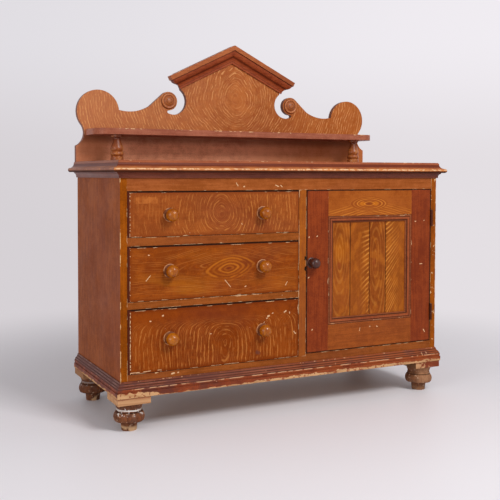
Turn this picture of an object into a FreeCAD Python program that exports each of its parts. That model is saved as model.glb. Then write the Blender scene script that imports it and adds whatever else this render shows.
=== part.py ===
import FreeCAD, Part
import os
import re
import Sketcher

# Kitchen dresser: a painted pine base with three drawers and a cupboard, and a shaped gallery above.
# Frame: X to the right, Y to the back, Z up. The origin is on the floor, in the middle of the outer box.

# Driving dimensions in millimetres, angles in degrees.
SIZES = {
    # Carcass box and front frame
    "carcass_width": 1250,
    "carcass_depth": 489,
    "face_height": 645,
    "side_thickness": 23,
    "rail_thickness": 23,
    "top_rail_drop": 41,
    "bottom_rail_rise": 20,
    "door_sill_rise": 7,
    "centre_stile_width": 29,
    "drawer_bank_width": 626,
    "divider_upper_thickness": 27,
    "divider_lower_thickness": 22.5,
    "divider_depth": 70,
    # Carcass boards
    "back_thickness": 12,
    "bottom_thickness": 18,
    "partition_thickness": 16,
    "runner_width": 28,
    "runner_thickness": 20,
    "stop_length": 40,
    "stop_depth": 18,
    "stop_clearance": 3.3,
    "cupboard_shelf_rise": 290,
    "cupboard_shelf_thickness": 18,
    "cupboard_shelf_setback": 90,
    "cleat_height": 28,
    "cleat_thickness": 18,
    # Worktop and its mouldings
    "top_thickness": 22,
    "rear_overhang": 23,
    "top_moulding_height": 38,
    "top_overhang": 29,
    "top_nose_radius": 8,
    "top_cove_start": 7.5,
    "top_cove_sag": 3.4,
    "top_fillet_height": 4,
    "top_step": 2.5,
    "bed_height": 19,
    "bed_overhang": 13,
    "bed_foot": 5,
    "bed_fillet": 3,
    "bed_sag": 2.2,
    # Base moulding, foot blocks and feet
    "base_height": 50,
    "base_overhang": 16,
    "base_strip_height": 17,
    "base_reed_inset": 3,
    "base_reed_height": 15,
    "base_cove_lip": 3,
    "base_fillet": 2.5,
    "block_height": 23,
    "block_width": 110,
    "block_overhang": 13,
    "foot_inset": 42,
    "foot_tip_diameter": 49,
    "foot_peg_diameter": 56,
    "foot_peg_height": 31,
    "foot_bulb_diameter": 101,
    "foot_bulb_height": 31,
    "foot_bulb_belly": 11,
    "foot_bulb_undercut": 4,
    "foot_bulb_taper": 8,
    "foot_ring_diameter": 85,
    "foot_ring_height": 7,
    "foot_neck_diameter": 79,
    "foot_neck_height": 23,
    "foot_top_diameter": 96,
    "foot_tenon_diameter": 32,
    "foot_tenon_length": 18,
    # Drawers
    "drawer_opening_1": 148,
    "drawer_opening_2": 178,
    "drawer_rear_gap": 37,
    "drawer_front_thickness": 20,
    "drawer_side_thickness": 12,
    "drawer_back_thickness": 12,
    "drawer_bottom_thickness": 8,
    "drawer_bottom_rise": 9,
    "drawer_groove_depth": 5,
    "drawer_side_drop": 6,
    "drawer_back_drop": 6,
    "drawer_side_gap": 1,
    "drawer_top_gap": 1.5,
    "running_gap": 0.3,
    "dovetail_length": 13,
    "dovetail_flare": 2.2,
    # Turned drawer knobs
    "knob_inset": 143,
    "knob_height_1": 71,
    "knob_height_2": 95,
    "knob_height_3": 107,
    "knob_flange_diameter": 45,
    "knob_flange_thickness": 5,
    "knob_neck_diameter": 30,
    "knob_ball_diameter": 42,
    "knob_neck_length": 4.8,
    "knob_tenon_diameter": 12,
    "knob_tenon_length": 16,
    # Cupboard door
    "door_thickness": 22,
    "door_gap": 1.5,
    "door_stile_width": 90,
    "door_top_rail_width": 93,
    "door_bottom_rail_width": 94,
    "door_tenon_length": 60,
    "door_tenon_thickness": 8,
    "door_tenon_shoulder": 18,
    "door_groove_depth": 8,
    "panel_recess": 10,
    "panel_thickness": 9,
    "panel_joint_shift_1": 8.5,
    "panel_joint_shift_2": 1,
    "panel_joint_shift_3": 18.5,
    "panel_vee": 2,
    "panel_moulding_width": 24,
    "panel_moulding_lip": 2.5,
    "panel_moulding_flat": 7,
    "panel_moulding_sag": 2,
    # Butt hinges
    "hinge_length": 60,
    "hinge_inset": 79,
    "hinge_leaf_width": 20,
    "hinge_leaf_thickness": 2,
    "hinge_barrel_diameter": 9,
    "hinge_face_gap": 0.3,
    "hinge_knuckle_gap": 0.3,
    "hinge_pin_diameter": 5,
    "hinge_pin_clearance": 0.05,
    "hinge_pin_head_diameter": 7,
    "hinge_pin_head_height": 2,
    "hinge_screw_head_diameter": 7,
    "hinge_screw_diameter": 3.5,
    "hinge_screw_length": 14,
    "hinge_screw_inset": 11,
    # Turn latch
    "latch_inset": 21,
    "latch_height": 319,
    "rose_diameter": 38,
    "rose_thickness": 3,
    "latch_knob_gap": 0.3,
    "latch_knob_foot_diameter": 22,
    "latch_knob_neck_diameter": 15,
    "latch_knob_diameter": 38,
    "latch_knob_foot_height": 3.5,
    "spindle_diameter": 8,
    "spindle_clearance": 0.05,
    "spindle_socket": 16,
    "tongue_gap": 0.6,
    "tongue_thickness": 4,
    "tongue_width": 14,
    "tongue_overlap": 10.5,
    # Gallery
    "gallery_thickness": 20,
    "gallery_overhang": 4,
    "gallery_shoulder_height": 59,
    "gallery_neck_inset": 31,
    "gallery_neck_height": 106,
    "ear_inset": 84,
    "ear_height": 186,
    "ear_diameter": 160,
    "ear_end_angle": 6,
    "ear_foot_inset": 23,
    "valley_inset": 115,
    "valley_rise": 4,
    "slope_offset": 77,
    "slope_rise": 23,
    "scroll_offset": 51,
    "scroll_rise": 49,
    "scroll_diameter": 71,
    "scroll_start_angle": 40,
    "crescent_shift": 21,
    "crescent_lift": 2,
    "crescent_diameter": 106,
    "crescent_end_angle": 126,
    "boss_diameter": 60,
    "boss_ring_width": 9,
    "boss_ring_height": 6.5,
    "boss_groove_height": 4.5,
    "boss_button_diameter": 38,
    "boss_height": 11.5,
    "gallery_shelf_inset": 35,
    "gallery_shelf_depth": 144,
    "gallery_shelf_thickness": 22,
    "gallery_shelf_corner": 60,
    "column_inset": 86,
    "column_front_inset": 39,
    "column_base_diameter": 47,
    "column_base_height": 16.5,
    "column_waist_diameter": 40,
    "column_waist_height": 4,
    "column_ring_diameter": 48,
    "column_ring_height": 16.5,
    "column_groove_diameter": 39,
    "column_vase_diameter": 45,
    "column_vase_height": 44.5,
    "column_vase_belly": 9,
    "column_shoulder_diameter": 42,
    "column_shoulder_rise": 18,
    "column_neck_diameter": 23,
    "column_neck_height": 4,
    "column_cap_diameter": 42,
    "column_cap_taper": 3,
    "column_cap_height": 8.5,
    # Raking pediment mouldings
    "pediment_slope": 26.2,
    "pediment_span": 434,
    "gable_lift": 50.9,
    "pediment_width": 62,
    "pediment_projection": 31,
    "pediment_fascia": 17,
    "pediment_quirk": 4,
    "pediment_cove_projection": 17,
    "pediment_cove_height": 25,
    "pediment_sag": 1.6,
    "pediment_fillet_height": 8,
    "pediment_fillet_projection": 6,
}

# Counts of repeated pieces.
BACK_BOARDS = 9
HINGE_KNUCKLES = 5
SCREWS_PER_LEAF = 3

# Half of a dovetail's width at its root, as a share of the spacing of the tails.
TAIL_SHARE = 0.27

# Places worked out from the sizes.
PLACES = {
    "left_face": "-carcass_width / 2",
    "right_face": "carcass_width / 2",
    "knob_neck_end": "knob_flange_thickness + knob_neck_length",
    "knob_ball_centre": "knob_neck_end + sqrt(knob_ball_diameter ^ 2 - knob_neck_diameter ^ 2) / 2",
    "knob_projection": "knob_ball_centre + knob_ball_diameter / 2",
    "front_face": "(knob_projection - carcass_depth - rear_overhang) / 2",
    "rear_face": "front_face + carcass_depth",
    "top_rear": "rear_face + rear_overhang",
    "back_front": "rear_face - back_thickness",
    "frame_back": "front_face + rail_thickness",
    "bulb_top": "foot_peg_height + foot_bulb_height",
    "ring_top": "bulb_top + foot_ring_height",
    "foot_height": "ring_top + foot_neck_height",
    "carcass_bottom": "foot_height + block_height",
    "face_bottom": "carcass_bottom + base_height",
    "face_top": "face_bottom + face_height",
    "bed_top": "face_top + bed_height",
    "top_surface": "bed_top + top_moulding_height",
    "carcass_top": "top_surface - top_thickness",
    "inner_left": "left_face + side_thickness",
    "inner_right": "right_face - side_thickness",
    "stile_left": "inner_left + drawer_bank_width",
    "stile_right": "stile_left + centre_stile_width",
    "partition_right": "stile_left + partition_thickness",
    "floor_top": "face_bottom + bottom_rail_rise",
    "bank_top": "face_top - top_rail_drop",
    "sill_top": "floor_top + door_sill_rise",
    "opening_1_top": "bank_top",
    "opening_1_bottom": "bank_top - drawer_opening_1",
    "opening_2_top": "opening_1_bottom - divider_upper_thickness",
    "opening_2_bottom": "opening_2_top - drawer_opening_2",
    "opening_3_top": "opening_2_bottom - divider_lower_thickness",
    "opening_3_bottom": "floor_top",
    "drawer_left": "inner_left + drawer_side_gap",
    "drawer_right": "stile_left - drawer_side_gap",
    "drawer_rear": "back_front - drawer_rear_gap",
    "drawer_length": "drawer_rear - front_face",
    "front_inside": "front_face + drawer_front_thickness",
    "stop_height": "drawer_bottom_rise + running_gap - stop_clearance",
    "shelf_bottom": "floor_top + cupboard_shelf_rise",
    "door_left": "stile_right + door_gap",
    "door_right": "inner_right - door_gap",
    "door_bottom": "sill_top + door_gap",
    "door_top": "bank_top - door_gap",
    "door_back": "front_face + door_thickness",
    "door_stop_front": "max(frame_back; door_back + running_gap)",
    "panel_left": "door_left + door_stile_width",
    "panel_right": "door_right - door_stile_width",
    "panel_bottom": "door_bottom + door_bottom_rail_width",
    "panel_top": "door_top - door_top_rail_width",
    "panel_face": "front_face + panel_recess",
    "panel_back": "panel_face + panel_thickness",
    "tenon_front": "front_face + (door_thickness - door_tenon_thickness) / 2",
    "pin_x": "door_right + door_gap / 2",
    "pin_y": "front_face - hinge_barrel_diameter / 2 - hinge_face_gap",
    "latch_x": "door_left + latch_inset",
    "latch_z": "door_bottom + latch_height",
    "latch_knob_back": "front_face - rose_thickness - latch_knob_gap",
    "latch_ball_rise": "sqrt(latch_knob_diameter ^ 2 - latch_knob_neck_diameter ^ 2) / 2",
    "latch_ball_centre": "latch_knob_foot_height + latch_ball_rise",
    "tongue_front": "max(frame_back; door_back) + tongue_gap",
    "tongue_reach": "latch_inset + door_gap + tongue_overlap",
    "gallery_front": "top_rear - gallery_thickness",
    "gallery_half": "right_face + gallery_overhang",
    "gallery_shelf_bottom": "top_surface + column_height",
    "gallery_shelf_half": "gallery_half - gallery_shelf_inset",
    "column_x": "gallery_shelf_half - column_inset",
    "column_y": "gallery_front - gallery_shelf_depth + column_front_inset",
    "column_waist_top": "column_base_height + column_waist_height",
    "column_ring_top": "column_waist_top + column_ring_height",
    "column_vase_top": "column_ring_top + column_vase_height",
    "column_neck_top": "column_vase_top + column_neck_height",
    "column_height": "column_neck_top + column_cap_taper + column_cap_height",
    "ear_x": "gallery_half - ear_inset",
    "ear_radius": "ear_diameter / 2",
    "neck_x": "gallery_half - gallery_neck_inset",
    "ear_foot_x": "gallery_half - ear_foot_inset",
    "ear_foot": "ear_height - sqrt(ear_radius ^ 2 - (ear_foot_x - ear_x) ^ 2)",
    "valley_x": "ear_x - valley_inset",
    "valley_height": "ear_height + valley_rise",
    "scroll_x": "gable_x + scroll_offset",
    "scroll_height": "ear_height + scroll_rise",
    "scroll_radius": "scroll_diameter / 2",
    "scroll_bottom": "scroll_height - scroll_radius",
    "crescent_x": "scroll_x - crescent_shift",
    "crescent_height": "scroll_height + crescent_lift",
    "crescent_radius": "crescent_diameter / 2",
    "crescent_tip": "crescent_height - sqrt(crescent_radius ^ 2 - crescent_shift ^ 2)",
    "gable_x": "pediment_span / 2",
    "gable_z": "scroll_height + gable_lift",
    "pediment_rise": "gable_z + gable_x * tan(pediment_slope)",
    "gable_top": "pediment_rise + pediment_width / cos(pediment_slope)",
    "rake_length": "gable_x / cos(pediment_slope)",
    "rake_mitre": "pediment_width * tan(pediment_slope)",
}

doc = FreeCAD.newDocument("kitchen_dresser")
sheet = doc.addObject("Spreadsheet::Sheet", "sizes")
for row, (alias, number) in enumerate(SIZES.items(), start=1):
    sheet.set(f"A{row}", alias)
    sheet.set(f"B{row}", str(number))
    sheet.setAlias(f"B{row}", alias)
doc.recompute()

nodes = []


def formula(text):
    """Writes each named place out, down to the cells of the sheet."""
    def cell(match):
        word = match.group()
        if word in PLACES:
            return "(" + formula(PLACES[word]) + ")"
        return "sizes." + word if word in SIZES else word
    return re.sub(r"[a-z]\w*", cell, str(text))


def number_of(text):
    """The value of a formula at the sheet's present sizes."""
    return float(sheet.evalExpression(formula(text)))


def spot(pair):
    """A sketch point from two formulas."""
    return FreeCAD.Vector(number_of(pair[0]), number_of(pair[1]), 0)


def place(piece, x="0", y="0", z="0"):
    """Binds an object's position to three formulas."""
    for axis, text in (("x", x), ("y", y), ("z", z)):
        piece.setExpression(f"Placement.Base.{axis}", formula(text))
    return piece


def turn(piece, axis, degrees):
    """Turns an object about a line through its own origin."""
    piece.Placement = FreeCAD.Placement(FreeCAD.Vector(), FreeCAD.Rotation(FreeCAD.Vector(*axis), degrees))
    return piece


def node(piece, name):
    """Marks an object as one of the dresser's sub-parts."""
    piece.Label = name
    nodes.append(piece)
    return piece


def board(name, x, y, z):
    """A rectangular board, from a low and a high formula on each axis."""
    piece = doc.addObject("Part::Box", name)
    for side, (low, high) in (("Length", x), ("Width", y), ("Height", z)):
        piece.setExpression(side, formula(f"({high}) - ({low})"))
    return place(piece, x[0], y[0], z[0])


def rod(name, radius, length, x, y, z):
    """An upright cylinder on a point."""
    piece = doc.addObject("Part::Cylinder", name)
    piece.setExpression("Radius", formula(radius))
    piece.setExpression("Height", formula(length))
    return place(piece, x, y, z)


def group(name, pieces):
    """Separate solids that share one object."""
    piece = doc.addObject("Part::Compound", name)
    piece.Links = pieces
    return piece


def cut(name, base, tools):
    """A solid with the shapes of others taken out of it."""
    piece = doc.addObject("Part::Cut", name)
    piece.Base = base
    piece.Tool = tools[0] if len(tools) == 1 else group(name + "_tools", tools)
    return piece


def fuse(name, pieces):
    """One solid made of several that overlap."""
    piece = doc.addObject("Part::MultiFuse", name)
    piece.Shapes = pieces
    return piece


def common(name, base, tool):
    """What two solids share."""
    piece = doc.addObject("Part::Common", name)
    piece.Base = base
    piece.Tool = tool
    return piece


def mirror(name, source, normal, x="0", z="0"):
    """The mirror image of an object."""
    piece = doc.addObject("Part::Mirroring", name)
    piece.Source = source
    piece.Normal = FreeCAD.Vector(*normal)
    piece.setExpression("Base.x", formula(x))
    piece.setExpression("Base.z", formula(z))
    return piece


def pin_down(sketch, index, end, pair):
    """Binds a point of a sketch to two formulas."""
    for kind, text in (("DistanceX", pair[0]), ("DistanceY", pair[1])):
        bound = Sketcher.Constraint(kind, -1, 1, index, end, number_of(text))
        sketch.setExpression(f"Constraints[{sketch.addConstraint(bound)}]", formula(text))


def draw(body, plane, outline):
    """Sketches a closed outline: two formulas are a corner, four are an arc's middle and its end."""
    sketch = body.newObject("Sketcher::SketchObject", body.Name + "_outline")
    origin = [feature for feature in body.Origin.OriginFeatures if feature.Role == plane]
    sketch.AttachmentSupport = [(origin[0], "")]
    sketch.MapMode = "FlatFace"
    here = outline[0]
    last_joint = None
    first_joint = None
    for step in outline[1:] + outline[:1]:
        end = step[-2:]
        start_point, end_point = spot(here), spot(end)
        tail, head = 1, 2
        if len(step) == 2:
            curve = Part.LineSegment(start_point, end_point)
        else:
            # Arcs are kept counter-clockwise, so a clockwise step is drawn from its far end.
            middle_point = spot(step[:2])
            if (middle_point - start_point).cross(end_point - middle_point).z < 0:
                start_point, end_point = end_point, start_point
                tail, head = 2, 1
            curve = Part.Arc(start_point, middle_point, end_point)
        index = sketch.addGeometry(curve)
        if last_joint:
            sketch.addConstraint(Sketcher.Constraint("Coincident", *last_joint, index, tail))
        pin_down(sketch, index, head, end)
        if len(step) == 4:
            middle = sketch.addGeometry(Part.Point(spot(step[:2])), True)
            pin_down(sketch, middle, 1, step[:2])
            sketch.addConstraint(Sketcher.Constraint("PointOnObject", middle, 1, index))
        first_joint = first_joint or (index, tail)
        last_joint = (index, head)
        here = end
    sketch.addConstraint(Sketcher.Constraint("Coincident", *last_joint, *first_joint))
    return sketch


def padded(name, plane, outline, length):
    """An outline padded square to its plane: XY pads up, XZ to the front, YZ to the right."""
    body = doc.addObject("PartDesign::Body", name)
    pad = body.newObject("PartDesign::Pad", name + "_pad")
    pad.Profile = draw(body, plane, outline)
    pad.setExpression("Length", formula(length))
    body.Tip = pad
    return body


def turned(name, outline):
    """A piece turned on a lathe, from an outline of radius and height."""
    body = doc.addObject("PartDesign::Body", name)
    sketch = draw(body, "XZ_Plane", outline)
    spin = body.newObject("PartDesign::Revolution", name + "_turning")
    spin.Profile = sketch
    spin.ReferenceAxis = (sketch, ["V_Axis"])
    spin.Angle = 360
    body.Tip = spin
    return body


def remapped(outline, remap):
    """An outline with the two formulas of each point put through a function."""
    moved = []
    for step in outline:
        points = zip(step[::2], step[1::2])
        moved.append(tuple(text for pair in points for text in remap(*pair)))
    return moved


def shifted(outline, template):
    """An outline with each distance from the wall put into a template such as -({})."""
    return remapped(outline, lambda out, up: (template.format(out), up))


def reflected(outline):
    """The way back to the start of an open outline, on the other side of the middle line."""
    way_back = []
    for before, step in zip(reversed(outline[:-1]), reversed(outline[1:])):
        way_back.append(step[:-2] + before[-2:])
    return shifted(way_back, "-({})")


def moulding_set(name, outline, overhang, height, base, rear):
    """A moulding on the front and both sides of the carcass, mitred at the front corners."""
    front_run = padded(name + "_front_run", "YZ_Plane", shifted(outline, "-({})"),
                       f"carcass_width + 2 * {overhang}")
    place(front_run, f"left_face - {overhang}", "front_face", base)
    front_plan = padded(name + "_front_plan", "XY_Plane", [
        ("left_face", "front_face"),
        (f"left_face - {overhang}", f"front_face - {overhang}"),
        (f"right_face + {overhang}", f"front_face - {overhang}"),
        ("right_face", "front_face"),
    ], height)
    place(front_plan, z=base)
    side_run = padded(name + "_side_run", "XZ_Plane", shifted(outline, "-({})"),
                      f"{rear} - front_face + {overhang}")
    place(side_run, "left_face", rear, base)
    side_plan = padded(name + "_side_plan", "XY_Plane", [
        ("left_face", "front_face"),
        ("left_face", rear),
        (f"left_face - {overhang}", rear),
        (f"left_face - {overhang}", f"front_face - {overhang}"),
    ], height)
    place(side_plan, z=base)
    front = common(name + "_front", front_run, front_plan)
    left = common(name + "_left", side_run, side_plan)
    right = mirror(name + "_right", left, (1, 0, 0))
    return front, left, right


def carcass_boards():
    """The fixed boards behind and beside the front frame. The right side is cut for its hinges later."""
    upright = ("carcass_bottom", "carcass_top")
    depth = ("front_face", "rear_face")
    node(board("side_panel_left", ("left_face", "inner_left"), depth, upright), "side_panel_left")

    backs = []
    width = f"(inner_right - inner_left) / {BACK_BOARDS}"
    for k in range(BACK_BOARDS):
        span = (f"inner_left + {k} * {width}", f"inner_left + {k + 1} * {width}")
        backs.append(board(f"back_board_{k + 1}", span, ("back_front", "rear_face"), upright))
    node(group("back_boards", backs), "back_boards")

    inside = ("frame_back", "back_front")
    node(board("bottom_board", ("inner_left", "inner_right"), inside,
               ("floor_top - bottom_thickness", "floor_top")), "bottom_board")
    node(board("partition_panel", ("stile_left", "partition_right"), inside,
               ("floor_top", "carcass_top")), "partition_panel")


def front_frame():
    """Rails, centre stile and drawer dividers, flush with the front."""
    face = ("front_face", "frame_back")
    full = ("inner_left", "inner_right")
    bank = ("inner_left", "stile_left")
    node(board("top_rail", full, face, ("bank_top", "carcass_top")), "top_rail")
    rail_blank = board("bottom_rail_blank", full, face, ("carcass_bottom", "sill_top"))
    rail_step = board("bottom_rail_step", ("inner_left", "stile_right"), face, ("floor_top", "sill_top"))
    node(cut("bottom_rail", rail_blank, [rail_step]), "bottom_rail")
    node(board("centre_stile", ("stile_left", "stile_right"), face, ("floor_top", "bank_top")),
         "centre_stile")
    shallow = ("front_face", "front_face + divider_depth")
    node(board("drawer_divider_upper", bank, shallow, ("opening_2_top", "opening_1_bottom")),
         "drawer_divider_upper")
    node(board("drawer_divider_lower", bank, shallow, ("opening_3_top", "opening_2_bottom")),
         "drawer_divider_lower")


def drawer_supports():
    """Runners level with the dividers, kickers above the top drawer, and stops behind each front."""
    sides = (("inner_left", "inner_left + runner_width"), ("stile_left - runner_width", "stile_left"))
    behind = ("front_face + divider_depth", "back_front")
    runners = []
    for level in ("opening_1_bottom", "opening_2_bottom"):
        for side in sides:
            thick = (f"{level} - runner_thickness", level)
            runners.append(board(f"runner_{len(runners) + 1}", side, behind, thick))
    for side in sides:
        thick = ("opening_1_top", "opening_1_top + runner_thickness")
        runners.append(board(f"runner_{len(runners) + 1}", side, ("frame_back", "back_front"), thick))
    node(group("drawer_runners", runners), "drawer_runners")

    stops = []
    for level in ("opening_1_bottom", "opening_2_bottom", "opening_3_bottom"):
        for middle in ("drawer_left + knob_inset", "drawer_right - knob_inset"):
            across = (f"{middle} - stop_length / 2", f"{middle} + stop_length / 2")
            deep = ("front_inside + running_gap", "front_inside + running_gap + stop_depth")
            stops.append(board(f"stop_{len(stops) + 1}", across, deep, (level, f"{level} + stop_height")))
    node(group("drawer_stops", stops), "drawer_stops")


def cupboard_inside():
    """The cupboard's shelf on its two cleats, and the block that the door closes on."""
    deep = ("frame_back + cupboard_shelf_setback", "back_front")
    node(board("cupboard_shelf", ("partition_right", "inner_right"), deep,
               ("shelf_bottom", "shelf_bottom + cupboard_shelf_thickness")), "cupboard_shelf")
    tall = ("shelf_bottom - cleat_height", "shelf_bottom")
    cleats = [
        board("cleat_left", ("partition_right", "partition_right + cleat_thickness"), deep, tall),
        board("cleat_right", ("inner_right - cleat_thickness", "inner_right"), deep, tall),
    ]
    node(group("shelf_cleats", cleats), "shelf_cleats")
    middle = "(door_left + door_right) / 2"
    node(board("door_stop", (f"{middle} - stop_length", f"{middle} + stop_length"),
               ("door_stop_front", "door_stop_front + stop_depth"),
               ("floor_top", "door_bottom + stop_depth")), "door_stop")


def worktop():
    """The top board with its nosed moulding, and the cove moulding under it."""
    node(board("top_board", ("left_face", "right_face"), ("front_face", "top_rear"),
               ("carcass_top", "top_surface")), "top_board")
    cove_low = ("top_overhang - top_nose_radius / 2", "top_nose_radius * (1 + sin(60))")
    cove_high = ("top_cove_start", "top_moulding_height - top_step - top_fillet_height")
    outline = [
        ("0", "0"),
        ("top_overhang - top_nose_radius", "0"),
        ("top_overhang", "top_nose_radius") + cove_low,
        (f"({cove_low[0]} + {cove_high[0]}) / 2 - top_cove_sag",
         f"({cove_low[1]} + {cove_high[1]}) / 2 - top_cove_sag") + cove_high,
        ("top_cove_start", "top_moulding_height - top_step"),
        ("top_cove_start - top_step", "top_moulding_height - top_step"),
        ("top_cove_start - top_step", "top_moulding_height"),
        ("0", "top_moulding_height"),
    ]
    for piece in moulding_set("top_moulding", outline, "top_overhang", "top_moulding_height",
                              "bed_top", "top_rear"):
        node(piece, piece.Name)
    bed_outline = [
        ("0", "0"),
        ("bed_foot", "0"),
        ("bed_foot", "bed_fillet"),
        ("(bed_foot + bed_overhang) / 2 - bed_sag", "bed_height / 2 + bed_sag / 2",
         "bed_overhang", "bed_height - bed_fillet"),
        ("bed_overhang", "bed_height"),
        ("0", "bed_height"),
    ]
    beds = moulding_set("bed_moulding", bed_outline, "bed_overhang", "bed_height", "face_top", "rear_face")
    node(group("bed_moulding", list(beds)), "bed_moulding")


def base():
    """The base moulding, and four turned feet tenoned into blocks under the corners."""
    reed_low = ("base_overhang - base_reed_inset", "base_strip_height")
    reed_high = ("base_overhang - base_reed_inset - base_fillet / 2", "base_strip_height + base_reed_height")
    cove_low = (reed_high[0], f"{reed_high[1]} + base_fillet")
    cove_high = ("base_cove_lip", "base_height - base_fillet")
    outline = [
        ("0", "0"),
        ("base_overhang", "0"),
        ("base_overhang", "base_strip_height"),
        reed_low,
        (f"{reed_low[0]} + base_reed_inset / 2", "base_strip_height + base_reed_height / 2") + reed_high,
        cove_low,
        (f"({cove_low[0]} + {cove_high[0]}) / 2 - base_fillet / 2",
         f"({cove_low[1]} + {cove_high[1]}) / 2 - base_fillet / 2") + cove_high,
        ("base_cove_lip", "base_height"),
        ("0", "base_height"),
    ]
    for piece in moulding_set("base_moulding", outline, "base_overhang", "base_height",
                              "carcass_bottom", "rear_face"):
        node(piece, piece.Name)

    foot_outline = [
        ("0", "0"),
        ("foot_tip_diameter / 2", "0"),
        ("foot_peg_diameter / 2", "foot_peg_height"),
        ("foot_bulb_diameter / 2 - foot_bulb_undercut", "foot_peg_height"),
        ("foot_bulb_diameter / 2", "foot_peg_height + foot_bulb_belly",
         "foot_bulb_diameter / 2 - foot_bulb_taper", "bulb_top"),
        ("foot_neck_diameter / 2", "bulb_top"),
        ("foot_ring_diameter / 2", "bulb_top + foot_ring_height / 2", "foot_neck_diameter / 2", "ring_top"),
        ("foot_top_diameter / 2", "foot_height"),
        ("foot_tenon_diameter / 2", "foot_height"),
        ("foot_tenon_diameter / 2", "foot_height + foot_tenon_length"),
        ("0", "foot_height + foot_tenon_length"),
    ]
    feet = []
    blocks = []
    front_block = ("front_face - block_overhang", "front_face - block_overhang + block_width")
    rear_block = ("rear_face - block_width", "rear_face")
    left_block = ("left_face - block_overhang", "left_face - block_overhang + block_width")
    right_block = ("right_face + block_overhang - block_width", "right_face + block_overhang")
    for x, across in (("left_face + foot_inset", left_block), ("right_face - foot_inset", right_block)):
        for y, deep in (("front_face + foot_inset", front_block), ("rear_face - foot_inset", rear_block)):
            foot = turned(f"foot_{len(feet) + 1}", foot_outline)
            feet.append(place(foot, x, y))
            blank = board(f"foot_block_blank_{len(feet)}", across, deep, ("foot_height", "carcass_bottom"))
            blocks.append(cut(f"foot_block_{len(feet)}", blank, [foot]))
    node(group("feet", feet), "feet")
    node(group("foot_blocks", blocks), "foot_blocks")


def gallery_backboard():
    """The shaped board behind the worktop: end discs, scrolls with crescent cuts, and a gable."""
    slot_middle = "(scroll_bottom + crescent_tip) / 2"
    half = [
        ("0", "0"),
        ("gallery_half", "0"),
        ("gallery_half", "gallery_shoulder_height"),
        ("neck_x", "gallery_neck_height", "ear_foot_x", "ear_foot"),
        ("ear_x + ear_radius / sqrt(2)", "ear_height + ear_radius / sqrt(2)",
         "ear_x - ear_radius * cos(ear_end_angle)", "ear_height + ear_radius * sin(ear_end_angle)"),
        ("valley_x", "valley_height", "scroll_x + slope_offset", "valley_height + slope_rise"),
        ("scroll_x + scroll_radius * cos(scroll_start_angle)",
         "scroll_height + scroll_radius * sin(scroll_start_angle)"),
        ("scroll_x - scroll_radius", "scroll_height", "scroll_x", "scroll_bottom"),
        ("scroll_x + (scroll_bottom - crescent_tip) * 0.45", slot_middle, "scroll_x", "crescent_tip"),
        ("crescent_x - crescent_radius / sqrt(2)", "crescent_height - crescent_radius / sqrt(2)",
         "crescent_x + crescent_radius * cos(crescent_end_angle)",
         "crescent_height + crescent_radius * sin(crescent_end_angle)"),
        ("gable_x", "gable_z"),
        ("gable_x + pediment_width * sin(pediment_slope)", "gable_z + pediment_width * cos(pediment_slope)"),
        ("0", "gable_top"),
    ]
    outline = half + reflected(half)[:-1]
    piece = padded("gallery_backboard", "XZ_Plane", outline, "gallery_thickness")
    node(place(piece, y="top_rear", z="top_surface"), "gallery_backboard")


def pediment():
    """Two raking mouldings that meet at the apex and return along their own profile at the lower ends."""
    fillet = ("pediment_fillet_projection", "pediment_fillet_height")
    cove = ("pediment_cove_projection", "pediment_cove_height")
    ovolo = ("pediment_projection - pediment_quirk", "pediment_width - pediment_fascia - pediment_quirk / 2")
    profile = [
        ("pediment_fillet_projection", "0"),
        fillet,
        (f"({fillet[0]} + {cove[0]}) / 2 - pediment_sag",
         f"({fillet[1]} + {cove[1]}) / 2 + pediment_sag") + cove,
        (f"({cove[0]} + {ovolo[0]}) / 2 + pediment_sag",
         f"({cove[1]} + {ovolo[1]}) / 2 - pediment_sag") + ovolo,
        (ovolo[0], "pediment_width - pediment_fascia"),
        ("pediment_projection", "pediment_width - pediment_fascia"),
        ("pediment_projection", "pediment_width"),
    ]
    run = padded("pediment_run", "YZ_Plane",
                 shifted([("0", "0")] + profile + [("0", "pediment_width")], "-({})"),
                 "rake_mitre + rake_length + pediment_projection")
    end = padded("pediment_end", "XZ_Plane",
                 [("0", "0")] + shifted(profile, "rake_length + ({})") + [("-rake_mitre", "pediment_width")],
                 "pediment_projection")
    place(run, x="-rake_mitre")
    right = common("pediment_moulding_right", run, end)
    right.Placement.Rotation.Axis = FreeCAD.Vector(0, 1, 0)
    right.setExpression("Placement.Rotation.Angle", formula("pediment_slope"))
    place(right, y="gallery_front", z="top_surface + pediment_rise")
    node(right, "pediment_moulding_right")
    node(mirror("pediment_moulding_left", right, (1, 0, 0)), "pediment_moulding_left")


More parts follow.
